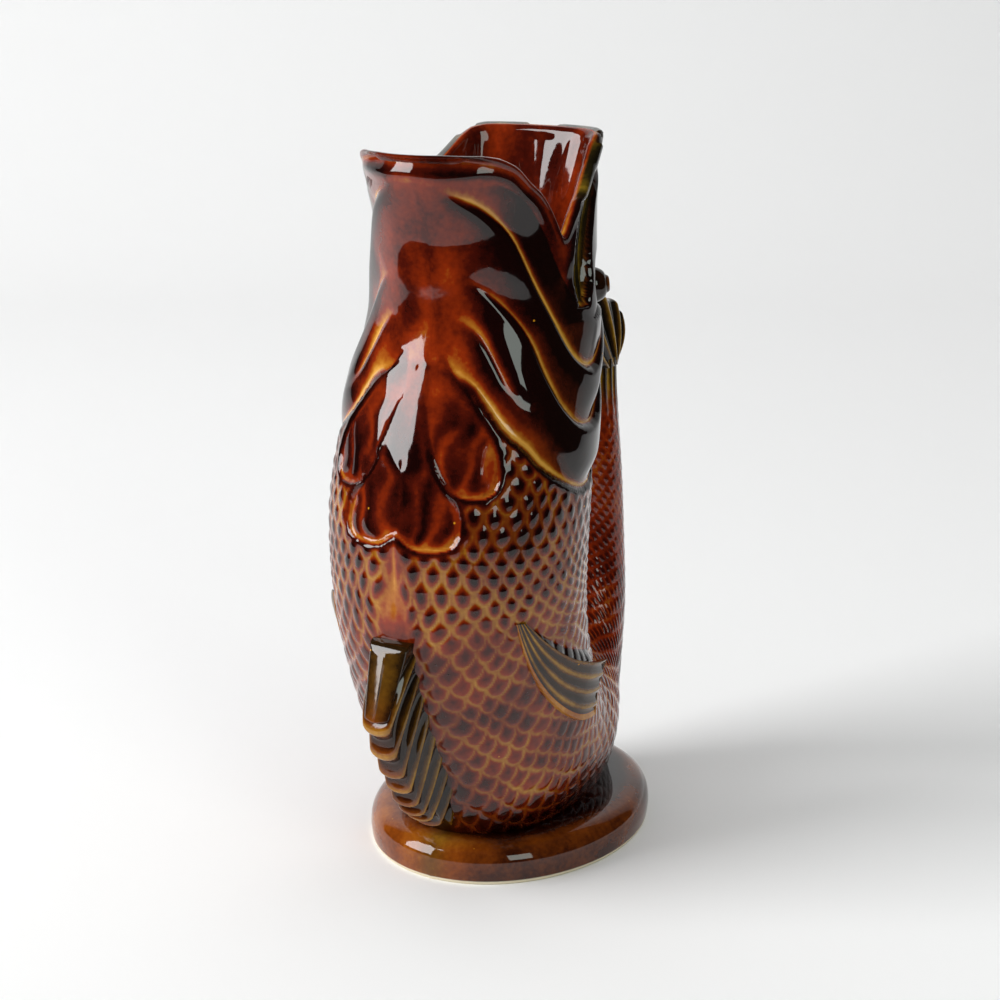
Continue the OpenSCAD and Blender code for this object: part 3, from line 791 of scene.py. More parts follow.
    def lip_bands(self) -> np.ndarray:
        """Presses the rounded band under the front lip and the groove below it."""
        low = self.below_groove()
        fade = smoothstep(0.41, 0.34, np.abs(self.grid.u))
        return fade * (0.30 * ridge(low + 3.0, 1.7) - 0.35 * ridge(low, 1.7))

    def lip_tone(self) -> np.ndarray:
        """Gives how much thinner the glaze is on the lip and its band, and thicker in the groove."""
        g = self.grid
        x = np.abs(g.u)
        low = self.below_groove()
        stripe = 0.10 * smoothstep(0.42, 0.34, x) * (ridge(low + 2.2, 1.2) - ridge(low, 1.5))
        sharp = 0.50 * ridge(g.below, 0.13) * smoothstep(0.16, 0.30, x)
        dark = 0.22 * ridge(g.below - 1.6, 0.9) * smoothstep(0.15, 0.28, x) * smoothstep(0.7, 0.5, x)
        return stripe + sharp - dark

    def pocket(self) -> np.ndarray:
        """Gives where the skin falls away behind each side fin's free edge, carved in and painted darkest
        as shade.
        """
        away, place = Line(self.grid, self.pocket_line).measure(self.pocket_reach)
        wide = np.interp(place, [0, 0.35, 0.75, 1.0], [0.6, 2.2, 4.2, 4.4])
        under = np.interp(place, [0, 0.35, 0.75, 1.0], [-0.4, 1.2, 5.0, 6.0])
        slope = np.clip((away + wide) / (wide + 0.8), 0, 1) * smoothstep(under + 0.8, under, away)
        return slope * smoothstep(0.0, 0.25, place) * smoothstep(1.06, 1.0, place)

    def seam(self) -> np.ndarray:
        """Raises the faint line that the mould leaves down the belly."""
        g = self.grid
        strong = 0.04 + 0.16 * ridge(g.v - 7.7, 0.6)
        return strong * ridge(g.arc, 0.8) * (1 - smoothstep(11, 12, g.v)) * smoothstep(1, 3, g.below)

    def tail_ribs(self) -> np.ndarray:
        """Runs the tail fin's ribs down on to the end of the tail."""
        g = self.grid
        y = g.plain[..., 1]
        across = (y - y.min(1, keepdims=True)) / np.ptp(y, axis=1)[:, None]
        return 0.9 * rib_wave(across, 6) * smoothstep(20.4, 21.6, g.v)

    def scale_mask(self) -> np.ndarray:
        """Fades the scales out along the belly's seam, on the head and where the fins sit."""
        g = self.grid
        strip = smoothstep(2.5, 9.0, g.arc + 3.0 * smoothstep(8.4, 7.8, g.v))
        back = smoothstep(1.0, 5.0, g.half - g.arc)
        neck = smoothstep(3.9, 4.6, g.v + 2.0 * smoothstep(0.9, 0.7, np.abs(g.u)))
        tail_end = 1 - smoothstep(20.6, 21.4, g.v)
        return strip * mix(0.5, 1, back) * neck * tail_end

    def scales(self) -> tuple:
        """Presses the rows of overlapping scales.

        Low on the body each scale is a dish with a raised rounded edge below it. High on the body
        only the dishes' small deep pits are left.

        Returns:
            Heights, and how much thinner or thicker the glaze lies.
        """
        g = self.grid
        v = g.rows
        pitch = np.interp(v, [8.2, 9.2, 12, 16, 19, 22], [6.15, 8.1, 8.0, 6.2, 4.3, 3.9])[:, None]
        space = np.interp(v, [7.4, 9.2, 12, 16, 19, 22], [4.9, 4.35, 4.4, 3.8, 2.9, 2.7])[:, None]
        slope = np.interp(v, [7.6, 9.2, 12, 14, 18], [0.12, -0.20, -0.18, 0, 0])[:, None]
        middle = 0.22 * g.half
        row = np.cumsum(g.share / space[:, 0])[:, None]
        p = 4.0 + (g.arc - middle) / pitch + 0.09 * self.noise(5.0)
        q = row - slope * (g.arc - middle) / space + 0.09 * self.noise(5.0)
        j = np.floor(q)
        y = q - j
        shift = 0.5 * (j % 2)
        centre = np.round(p - shift) + shift
        x = 2 * (p - centre)
        r = np.hypot(x, y)
        own = r < 1
        fall = np.hypot(2 * x / pitch, y / space) / np.maximum(r, 1e-6)
        inside = (1 - r) / np.maximum(fall, 1e-6)
        dish_x = np.where(own, x, x - np.sign(x))
        dish_y = np.where(own, y, y - 1)
        # The usual sine scatter gives each scale a chance of its own
        code = np.sin(centre * 12.9898 + j * 78.233 + np.sign(g.u) * 3.7) * 43758.5453
        chance = code - np.floor(code)
        high = smoothstep(8.9, 8.2, v)[:, None]
        dish = np.exp(-((np.abs(dish_x) / 0.60 + np.abs(dish_y - 0.05) / 0.58) ** 1.5))
        pit = np.exp(-(((dish_x / 0.46) ** 2 + ((dish_y - 0.18) / 0.38) ** 2) ** 1.4))
        rim = np.where(own, 0.9 * ridge(inside - 0.4, 0.62), 0.6 * ridge(inside, 0.35))
        shape = mix(rim - 0.30 * dish, 0.35 * rim - 0.85 * pit + 0.2, high)
        net = mix(0.24 * rim - 0.19 * dish, 0.06 + 0.20 * rim - 0.40 * pit, high)
        net *= np.interp(v, [15, 18.5], [1.0, 0.55])[:, None]
        depth = self.scale_depth * np.interp(v, [5, 7.6, 9, 16, 18.5], [0.85, 0.9, 1.0, 0.7, 0.26])
        size = 0.75 + 0.5 * chance
        return depth[:, None] * size * shape, net * (0.85 + 0.3 * chance)


# ---------------------------------------------------------------- finishes


def linear(colour: str) -> tuple:
    """Turns an sRGB hex value into linear red, green, blue and alpha."""
    parts = [int(colour[i : i + 2], 16) / 255 for i in (1, 3, 5)]
    return tuple(c / 12.92 if c <= 0.04045 else ((c + 0.055) / 1.055) ** 2.4 for c in parts) + (1.0,)


def add(tree: bpy.types.NodeTree, kind: str, settings: dict | None = None, **links) -> bpy.types.Node:
    """Adds a node.

    Args:
        tree: The node tree.
        kind: Blender's name for the node.
        settings: Properties of the node, and values for its inputs by name or number.
        **links: For each input (spaces as underscores, numbers after "i"), the output that feeds it.

    Returns:
        The node.
    """
    node = tree.nodes.new(kind)
    for key, value in (settings or {}).items():
        if isinstance(key, int) or key in node.inputs:
            node.inputs[key].default_value = value
        else:
            setattr(node, key, value)
    for key, source in links.items():
        named = key.replace("_", " ")
        target = node.inputs[int(key[1:])] if key[0] == "i" and key[1:].isdigit() else node.inputs[named]
        tree.links.new(source, target)
    return node


def ramp(tree: bpy.types.NodeTree, source: bpy.types.NodeSocket, stops: tuple) -> bpy.types.NodeSocket:
    """Colours a value by a row of stops, each a place and an sRGB hex value."""
    node = add(tree, "ShaderNodeValToRGB", Fac=source)
    elements = node.color_ramp.elements
    while len(elements) < len(stops):
        elements.new(0.5)
    for element, (place, colour) in zip(elements, stops):
        element.position = place
        element.color = linear(colour)
    return node.outputs["Color"]


@dataclass(frozen=True)
class TreacleGlaze:
    """Clear lead-free treacle glaze over white earthenware, dipped and fired glossy.

    It runs off raised edges, where the pale clay shows amber through it, and pools dark in the
    hollows. What the eye sees is deep brown with amber lines and hard window reflections.
    """

    name: str
    thick: str = "#160302"
    deep: str = "#481006"
    middle: str = "#8A2A09"
    thin: str = "#B06A1E"
    edge: str = "#DDA044"
    # On the fins and some edges it is olive, here at the same five depths
    olive: tuple = ("#0C0A04", "#241C08", "#54420F", "#96761F", "#CBA544")
    depths: tuple = (0.10, 0.30, 0.52, 0.72, 0.92)
    bias: float = 0.0
    # The dip lies unevenly, in blotches and in a fine grain
    blotch_mm: float = 14.0
    blotch_depth: float = 0.11
    grain_mm: float = 1.6
    grain_depth: float = 0.04
    # Painted glints: small amber specks mixed into the colour, one in each cell of this size
    glint_colour: str = "#E09A20"
    glint_spacing_mm: float = 11.0
    # Fired glaze is as smooth as glass, with a faint orange peel about 3 mm across
    ior: float = 1.5
    roughness: tuple = (0.03, 0.08)
    peel_mm: float = 3.0
    peel_height_mm: float = 0.06
    # Unglazed earthenware where the kiln shelf was, wiped clean with a sponge
    clay: str = "#E8DCC0"
    clay_roughness: float = 0.75

    def make(self) -> bpy.types.Material:
        """Makes the material: glaze depth, blotches, painted glints, bare clay, roughness, orange peel."""
        material = bpy.data.materials.new(self.name)
        material.use_nodes = True
        tree = material.node_tree
        tree.nodes.clear()
        node = partial(add, tree)
        place = node("ShaderNodeTexCoord").outputs["Object"]
        pool, olive, bare = (
            node("ShaderNodeAttribute", {"attribute_name": key}).outputs["Fac"]
            for key in ("pool", "olive", "bare")
        )
        sizes = ((self.blotch_mm, 4.0), (self.grain_mm, 3.0), (self.peel_mm, 1.0))
        blotch, fine, peel = (
            node("ShaderNodeTexNoise", {"Scale": 1 / (mm * MM), "Detail": detail}, Vector=place).outputs[0]
            for mm, detail in sizes
        )
        depth = pool
        for noise, low, high in (
            (blotch, -self.blotch_depth + self.bias, self.blotch_depth + self.bias),
            (fine, -self.grain_depth, self.grain_depth),
        ):
            uneven = node("ShaderNodeMapRange", {1: 0.3, 2: 0.7, 3: low, 4: high}, i0=noise)
            total = node("ShaderNodeMath", {"operation": "ADD"}, i0=depth, i1=uneven.outputs[0])
            depth = total.outputs[0]
        brown = (self.thick, self.deep, self.middle, self.thin, self.edge)
        warm, green = (ramp(tree, depth, tuple(zip(self.depths, row))) for row in (brown, self.olive))
        colour = node("ShaderNodeMix", {"data_type": "RGBA"}, i0=olive, i6=warm, i7=green)
        glint_cells = node("ShaderNodeTexVoronoi", {"Scale": 1 / (self.glint_spacing_mm * MM)}, Vector=place)
        fade = {1: 0.040, 2: 0.022, 3: 0.0, 4: 0.8}
        glint = node("ShaderNodeMapRange", fade, i0=glint_cells.outputs["Distance"])
        # Painted glints: amber specks mixed into the colour, then the bare clay over all
        for share, over in ((glint.outputs[0], self.glint_colour), (bare, self.clay)):
            settings = {"data_type": "RGBA", 7: linear(over)}
            colour = node("ShaderNodeMix", settings, i0=share, i6=colour.outputs[2])
        low, high = self.roughness
        rough = node("ShaderNodeMapRange", {1: 0.35, 2: 0.7, 3: low, 4: high}, i0=blotch)
        rough = node(
            "ShaderNodeMapRange", {1: 0.0, 2: 1.0, 4: self.clay_roughness}, i0=bare, i3=rough.outputs[0]
        )
        peeled = {"Strength": 0.25, "Distance": self.peel_height_mm * MM}
        bump = node("ShaderNodeBump", peeled, Height=peel)
        shader = node(
            "ShaderNodeBsdfPrincipled", {"IOR": self.ior},
            Base_Color=colour.outputs[2], Roughness=rough.outputs[0], Normal=bump.outputs[0],
        )
        node("ShaderNodeOutputMaterial", Surface=shader.outputs[0])
        return material


@dataclass(frozen=True)
class StudioPaint:
    """Matt white paint on the studio's floor and backdrop, rolled on."""

    name: str = "studio_white"
    colour: str = "#F2F2F2"

    def make(self) -> bpy.types.Material:
        """Makes the material."""
        material = bpy.data.materials.new(self.name)
        material.use_nodes = True
        shader = material.node_tree.nodes["Principled BSDF"]
        shader.inputs["Base Color"].default_value = linear(self.colour)
        shader.inputs["Roughness"].default_value = 0.9
        shader.inputs["Specular IOR Level"].default_value = 0.1
        return material


# ---------------------------------------------------------------- pieces


def place_piece(piece: bpy.types.Object, finish: bpy.types.Material, slot: str, *nodes: str) -> None:
    """Gives a piece its finish and its place in the frame.

    Args:
        piece: The piece.
        finish: Its material.
        slot: The record's slot that the finish belongs to; not used.
        *nodes: The solids that the piece stands for.
    """
    piece.data.materials.append(finish)
    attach(piece, "root")
    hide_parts(*nodes)
    log.info("%s: %d faces", piece.name, len(piece.data.polygons))


@dataclass
class FishBody:
    """The trunk, the tail and the pieces carved over the trunk's skin."""

    form: FishForm
    grid: SkinGrid
    relief: Relief
    finishes: dict
    floor_height: float = 9.5
    hollow_floor: float = 11.5
    # The hollow's rows: the first ones are the skin's own, and roll over the lips with it
    shared_rows: int = 14
    hollow_rows: int = 120
    lip_reach: float = 1.6
    tail_hollow_rows: int = 60
    tail_stride: int = 2
    # How deep a patch's underside lies, by the points it is inside the patch's border
    sink_steps: tuple = (0.0, 0.45, 0.8, 1.05, 1.2)
    clearance: float = 0.04
    patch_span: tuple = (0.004, 0.985)

    def build(self) -> None:
        """Builds the trunk, the tail and the patches over the trunk."""
        self.outer = self.outer_surface()
        self.build_trunk()
        self.build_tail()

    def outer_surface(self) -> np.ndarray:
        """Gives the carved skin, rolled over at the lips."""
        g = self.grid
        x = np.abs(g.around)
        lip_out, lip_in = g.plain[0], self.form.hollow(self.form.lip_row(g.around), g.around)
        self.lip_middle = (lip_out + lip_in) / 2
        thin = smoothstep(0.16, 0.30, x) * smoothstep(0.8, 0.7, x)
        self.rim = self.form.wall / 2 * mix(1.05, 0.65, thin)
        front = smoothstep(0.28, 0.10, x)
        bulge = mix(0.3, 4.8, front) * smoothstep(0.98, 0.9, x)
        bead = bulge * ridge(g.below - mix(2.5, 3.1, front), mix(2.1, 2.9, front))
        height = self.relief.height * smoothstep(0.3, 3.0, g.below) + bead
        drawn = (self.lip_middle - lip_out)[None] * self.rolled(g.below)[..., None]
        return g.plain + g.out * height[..., None] + drawn

    def rolled(self, away: np.ndarray) -> np.ndarray:
        """Gives how far the surface is drawn in to the wall's middle near the lips' edge."""
        t = np.clip(1 - away / self.rim[None], 0, 1)
        return 1 - np.sqrt(np.clip(1 - t * t, 0, 1))

    def inner_surface(self, rows: np.ndarray) -> np.ndarray:
        """Gives the hollow from the lips down, rolled over at the lips.

        Args:
            rows: The rows that it runs through.

        Returns:
            Points, with soft upright flutes inside the back of the head.
        """
        g = self.grid
        v, u = np.meshgrid(rows, g.around, indexing="ij")
        inner = self.form.hollow(self.form.below_lip(v, u), u)
        count = int(np.searchsorted(rows, self.lip_reach))
        away = np.full(v.shape, FAR)
        away[:count] = [ring_distance(row, inner[0]) for row in inner[:count]]
        flutes = np.cos(2 * np.pi * g.neck_arc / 17 + 0.9 * v) * smoothstep(0.5, 0.7, np.abs(u))
        flutes += 0.4 * np.cos(2 * np.pi * g.neck_arc / 7.3 - 1.4 * v)
        flutes *= 0.30 * smoothstep(1.0, 5.0, away) * smoothstep(3.2, 1.5, v)
        drawn = (self.lip_middle - inner[0])[None] * self.rolled(away)[..., None]
        return inner + drawn - ring_normals(inner) * flutes[..., None]

    def build_trunk(self) -> None:
        """Builds the trunk with its hollow, and the pieces that lie over it."""
        g, relief = self.grid, self.relief
        seat = g.seat
        outer = self.outer[: seat + 1].copy()
        n = self.shared_rows
        even = np.linspace(g.rows[n], self.form.tail_row, self.hollow_rows)
        inner_rows = np.concatenate([g.rows[:n], even])
        inner = self.inner_surface(inner_rows)[:0:-1]
        count = len(inner)
        whole = np.concatenate([inner, outer])
        normals = ring_normals(whole)
        self.outer_normals = np.concatenate([normals[count:], ring_normals(self.outer)[seat + 1 :]])
        deep = self.build_patches(outer)
        whole[count:] = outer - normals[count:] * deep[..., None]
        whole[count:, :, 2] = np.maximum(whole[count:, :, 2], self.floor_height)
        whole[:count, :, 2] = np.maximum(whole[:count, :, 2], self.hollow_floor)
        rows, columns = whole.shape[:2]
        j = np.arange(columns)
        k = (j + 1) % columns
        base = (rows - 1) * columns
        closing = np.stack([base + j, base + k, k, j], -1)
        plain = np.zeros(inner.shape[:2])
        values = {key: np.concatenate([plain, v[: seat + 1]]) for key, v in relief.tones().items()}
        wash = 0.08 * np.cos(2 * np.pi * g.neck_arc / 21 + 0.5 * inner_rows[:0:-1, None])
        values["pool"][:count] = 0.37 + wash
        bare_lip = 0.869 * smoothstep(0.24, 0.32, np.abs(g.around))
        values["pool"][count - 1] = mix(values["pool"][count - 1], 0.62, bare_lip)
        skin = split_from(band(rows, columns), np.concatenate([plain, deep]) > 0)
        trunk = build_mesh("trunk_skin", whole, [skin, closing], normals, values)
        place_piece(trunk, self.finishes["body"], "body_glaze", "trunk")

    def build_patches(self, outer: np.ndarray) -> np.ndarray:
        """Builds the pieces over the skin.

        Args:
            outer: The trunk's carved skin.

        Returns:
            How deep the trunk lies under them at each point.
        """
        g = self.grid
        rows = len(outer)
        start, end = self.patch_span
        deep = np.zeros(outer.shape[:2])
        plan = (
            (Part.GILL_COVER, "gill_cover", "red", "red_glaze"),
            (Part.BREAST_FIN, "breast_fin", "red", "red_glaze"),
            (Part.JAW_LOBE, "jaw_lobe", "dark", "dark_glaze"),
        )
        for part, name, finish, slot in plan:
            for side, hand in HANDS.items():
                across = g.u[:rows] * side
                on = (self.relief.label[:rows] == part.value) & (across > start) & (across < end)
                faces = on & np.roll(on, -1, 1)
                faces = self.opened(faces[:-1] & faces[1:])
                if not faces.any():
                    continue
                faces = self.trimmed(faces)
                steps = self.steps_inside(faces)
                sink = np.interp(steps, range(len(self.sink_steps)), self.sink_steps)
                piece = self.build_patch(f"{name}_{hand}_relief", outer, faces, sink)
                place_piece(piece, self.finishes[finish], slot, f"{name}_{hand}")
                deep = np.maximum(deep, np.where(steps > 0, sink + self.clearance, 0))
        return deep

    @staticmethod
    def opened(faces: np.ndarray) -> np.ndarray:
        """Drops slivers and loose bits from a patch of faces, and keeps its largest part."""
        thin = faces.copy()
        for axis in (0, 1):
            thin &= np.roll(thin, 1, axis) & np.roll(thin, -1, axis)
        wide = thin.copy()
        for axis in (0, 1):
            wide |= np.roll(wide, 1, axis) | np.roll(wide, -1, axis)
        wide &= faces
        names = np.where(wide, np.arange(wide.size).reshape(wide.shape) + 1, 0)
        while True:
            grown = names.copy()
            for axis in (0, 1):
                for turn in (1, -1):
                    grown = np.maximum(grown, np.roll(grown, turn, axis))
            grown = np.where(wide, grown, 0)
            if (grown == names).all():
                break
            names = grown
        ids, counts = np.unique(names[names > 0], return_counts=True)
        return names == ids[counts.argmax()] if len(ids) else wide

    def trimmed(self, faces: np.ndarray) -> np.ndarray:
        """Drops the faces of a patch that have all their corners on its border."""
        for _ in range(6):
            inner = self.steps_inside(faces) > 0
            held = inner[:-1] | inner[1:]
            faces = faces & (held | np.roll(held, -1, 1))
        return faces

    def steps_inside(self, faces: np.ndarray) -> np.ndarray:
        """Counts how many points each point lies inside a patch's border."""
        grown = np.zeros((faces.shape[0] + 2, faces.shape[1]), bool)
        grown[1:-1] = faces
        corner = grown[:-1] & grown[1:]
        inner = corner & np.roll(corner, 1, 1)
        steps = inner.astype(int)
        for _ in range(len(self.sink_steps) - 2):
            shrunk = inner.copy()
            for axis in (0, 1):
                shrunk &= np.roll(inner, 1, axis) & np.roll(inner, -1, axis)
            inner = shrunk
            steps += inner
        return steps

    def build_patch(
        self, name: str, outer: np.ndarray, faces: np.ndarray, sink: np.ndarray
    ) -> bpy.types.Object:
        """Builds one closed piece that lies in the skin: its carved top and its underside.

        Args:
            name: The piece's name.
            outer: The trunk's carved skin.
            faces: Which faces of it the piece takes.
            sink: How far its underside lies below its top at each point.

        Returns:
            The object.
        """
        rows, columns = outer.shape[:2]
        i, j = np.nonzero(faces)
        k = (j + 1) % columns
        below = i + 1
        top = np.stack([i * columns + j, i * columns + k, below * columns + k, below * columns + j], -1)
        used, corners = np.unique(top, return_inverse=True)
        top = corners.reshape(-1, 4)
        points = outer.reshape(-1, 3)[used]
        normals = self.outer_normals[:rows].reshape(-1, 3)[used]
        drop = sink.reshape(-1)[used]
        top = split_from(top, drop > 0)
        low = np.nonzero(drop > 0)[0]
        under_index = np.arange(len(used))
        under_index[low] = len(used) + np.arange(len(low))
        under = under_index[top][:, [0, 3, 2, 1]]
        all_points = np.concatenate([points, points[low] - normals[low] * drop[low, None]])
        all_normals = np.concatenate([normals, -normals[low]])
        values = {}
        for key, tones in self.relief.tones().items():
            shade = tones[:rows].reshape(-1)[used]
            values[key] = np.concatenate([shade, shade[low]])
        return build_mesh(name, all_points, [top, under], all_normals, values)

    def build_tail(self) -> None:
        """Builds the hollow tail above its seat on the trunk."""
        g = self.grid
        part = (slice(g.seat, None), slice(None, None, self.tail_stride))
        outer = self.outer[part]
        rows = np.linspace(self.form.hollow_end_row, self.form.tail_row, self.tail_hollow_rows)
        inner = self.form.hollow(*np.meshgrid(rows, g.around[part[1]], indexing="ij"))
        whole = np.concatenate([inner, outer])
        size = whole.shape[:2]
        normals = np.concatenate([-ring_normals(inner[::-1])[::-1], self.outer_normals[part]])
        points = np.concatenate([whole.reshape(-1, 3), [inner[0].mean(0), outer[-1].mean(0)]])
        shading = np.concatenate([normals.reshape(-1, 3), [[0, 0, -1], [0, 0, 1]]])
        values = {}
        for key, tones in self.relief.tones().items():
            inside = np.full(inner[..., 0].size, 0.4)
            values[key] = np.concatenate([inside, tones[part].ravel(), inside[:2]])
        tail = build_mesh("tail_skin", points, [band(*size), *end_fans(*size)], shading, values)
        place_piece(tail, self.finishes["body"], "body_glaze", "tail")


@dataclass
class Foot:
    """The oval cushion foot."""

    finish: bpy.types.Material
    width: float = 95.0
    depth: float = 117.0
    height: float = 14.0
    profile: tuple = (
        (0.07, 0.0), (0.03, 0.06), (0.005, 0.22), (0, 0.43), (0.05, 0.66), (0.21, 0.86),
        (0.52, 0.97), (1.05, 1.0),
    )
    columns: int = 240
    # Half the width and the depth of the body where it stands on the foot, for the painted shade there
    body_halves: tuple = (37.0, 48.0)
    glaze_ends: tuple = (1.1, 1.5)

    def build(self) -> None:
        """Builds the foot as rings from its underside to its top."""
        shares = curve(self.profile, np.linspace(0, 1, 64))
        around = np.linspace(0, 2 * np.pi, self.columns, endpoint=False)
        inset = 2 * self.height * shares[:, :1]
        x = (self.width - inset) / 2 * np.sin(around)
        y = -(self.depth - inset) / 2 * np.cos(around)
        z = np.broadcast_to(self.height * shares[:, 1:], x.shape)
        seam = 0.25 * ridge(x, 1.0) * (y < 0)
        rings = np.stack([x, y - seam, np.clip(z, 0, self.height)], -1)
        inner = np.linspace(0.97, 0.3, 8)[:, None, None] * np.array([1, 1, 0]) + np.array([0, 0, 1])
        rings = np.concatenate([rings, rings[-1][None] * inner])
        x, y, z = rings[..., 0], rings[..., 1], rings[..., 2]
        front = smoothstep(-5, -45, y) * smoothstep(30, -10, x)
        away = np.hypot(x / self.body_halves[0], y / self.body_halves[1])
        # Painted shade: darker on the foot's top under the body's edge; a lighter ring runs just outside it
        pool = 0.33 + 0.20 * front - 0.24 * smoothstep(1.10, 0.95, away) * (z > 12)
        pool += 0.10 * ridge(z - 13, 1.5) * ridge(away - 1.15, 0.12)
        olive = 0.55 * ridge(x, 5.0) * smoothstep(-30, -50, y)
        low, high = self.glaze_ends
        bare = smoothstep(high, low, z)
        piece = lofted("foot_cushion", rings, {"pool": pool, "olive": olive, "bare": bare})
        place_piece(piece, self.finish, "foot_glaze", "foot")


CAP_STEPS = (0.08, 0.32, 0.56, 0.76, 0.9, 0.98)


def capped(rings: np.ndarray, bulge: float = 0.0) -> np.ndarray:
    """Adds smaller rings inside the first one, so that the end is a face with its own shading.

    Args:
        rings: Rings of points.
        bulge: How far the face swells out in its middle.

    Returns:
        The rings with a narrower one before them for each cap step.
    """
    middle = rings[:1].mean(1, keepdims=True)
    out = unit(middle - rings[1:2].mean(1, keepdims=True))
    steps = np.array(CAP_STEPS)[:, None, None]
    along_line = 0.86 + 0.14 * steps
    shrink = np.concatenate([steps, along_line, along_line], -1)
    swollen = middle + (rings[:1] - middle) * shrink + out * bulge * np.sqrt(1 - steps**2)
    return np.concatenate([swollen, rings])


@dataclass
class Fan:
    """Slices of a ribbed fin, each rounded over its free edge."""

    root: np.ndarray
    knee: np.ndarray
    tip: np.ndarray
    halves: np.ndarray
    overhang: float = 0.55

    def rings(self) -> np.ndarray:
        """Gives the closed outline of each slice."""
        t = np.linspace(0, 1, 13)[None]
        line = bowed(self.root[:, None], self.knee[:, None], self.tip[:, None], t[..., None])
        half = bowed(*self.halves[:, :, None], t)
        last = self.halves[-1][:, None]
        away = unit(line[:, -1] - line[:, -2])
        turn = np.linspace(0, np.pi, 11)[1:-1]
        right, left = line.copy(), line[:, ::-1].copy()
        right[..., 0] += half
        left[..., 0] -= half[:, ::-1]
        cap = np.repeat(self.tip[:, None], len(turn), 1)
        cap[..., 0] += last * np.cos(turn)[None]
        over = self.overhang * last * np.sin(turn)[None]
        cap = cap + away[:, None] * over[..., None]
        return np.concatenate([right, cap, left], 1)


@dataclass
class BellyFin:
    """The ribbed keel on the front of the belly."""

    form: FishForm
    finish: bpy.types.Material
    out: float = 17.5
    width: float = 17.0
    ribs: int = 9
    rib_depth: float = 1.9
    floor: float = 12.5
    shares: tuple = (
        (8.80, 9.50, 0.98, 0.80, 0.54), (9.12, 9.94, 1.00, 0.84, 0.50), (9.50, 10.36, 0.93, 0.88, 0.48),
        (9.90, 10.70, 0.86, 0.92, 0.48), (10.30, 11.00, 0.80, 0.96, 0.50),
        (10.70, 11.24, 0.68, 1.00, 0.52), (11.05, 11.42, 0.50, 1.00, 0.54),
        (11.32, 11.62, 0.30, 0.96, 0.56), (11.70, 11.90, 0.04, 0.60, 0.40),
    )
    sink: float = 4.0
    face: tuple = ((8.76, 0.18), (9.57, 0.90))
    face_tones: tuple = (0.42, 0.40, 0.34, 0.28, 0.24, 0.22, 0.22, 0.26, 0.24, 0.2)

    def build(self) -> None:
        """Builds the keel as slices, each along one line of a rib, behind a flat front face."""
        t = np.linspace(0, 1, self.ribs * 14 + 1)
        f = curve(self.shares, t)
        wave = rib_wave(t, self.ribs, 1.2, ends=-1)
        zero = np.zeros_like(t)
        out = self.out * f[:, 2]
        over = self.form.over_skin
        root = over(zero, f[:, 0], zero - self.sink)
        knee = over(zero, mix(f[:, 0], f[:, 1], 0.55), out * 0.48)
        tip = over(zero, f[:, 1], out - 2.6 + self.rib_depth * wave * np.minimum(1, out / 6))
        root_half, tip_half = self.width * f[:, 3] / 2, self.width * f[:, 4] / 2
        swell = self.rib_depth * (wave - 0.4)
        halves = np.stack([root_half, mix(root_half, tip_half, 0.48) + swell, tip_half + 0.7 * swell])
        rings = Fan(root, knee, tip, halves).rings()
        row, lift = np.array(self.face).T
        start, end = over(np.zeros(2), row, self.out * lift)[:, None]
        sizes = self.width * np.array(self.shares[0])[3:5] / 2
        sizes = np.array([[sizes[0]], [sizes.mean()], [sizes[1]]])
        front = Fan(start, (start + end) / 2, end, sizes, 0.3).rings()
        swollen = front.mean(1, keepdims=True) + (front - front.mean(1, keepdims=True)) * 1.05
        steps = [mix(swollen[0], rings[0], s) for s in (0.2, 0.45, 0.7)]
        front = np.concatenate([front, np.array(steps), rings[1:]])
        rings = capped(front, 2.0)
        tone = np.concatenate([self.face_tones, 0.15 + 0.44 * wave[1:] ** 1.8])
        rings[..., 2] = np.maximum(rings[..., 2], self.floor)
        n = rings.shape[1]
        free = ridge((np.arange(n) - n / 2) / 7.0, 1.0)[None]
        pool = tone[:, None] + 0.06 * free
        olive = np.broadcast_to(0.85 - 0.35 * free, pool.shape)
        values = {"pool": pool, "olive": olive}
        piece = lofted("belly_fin_keel", rings, values, flip=True)
        place_piece(piece, self.finish, "fin_glaze", "belly_fin")


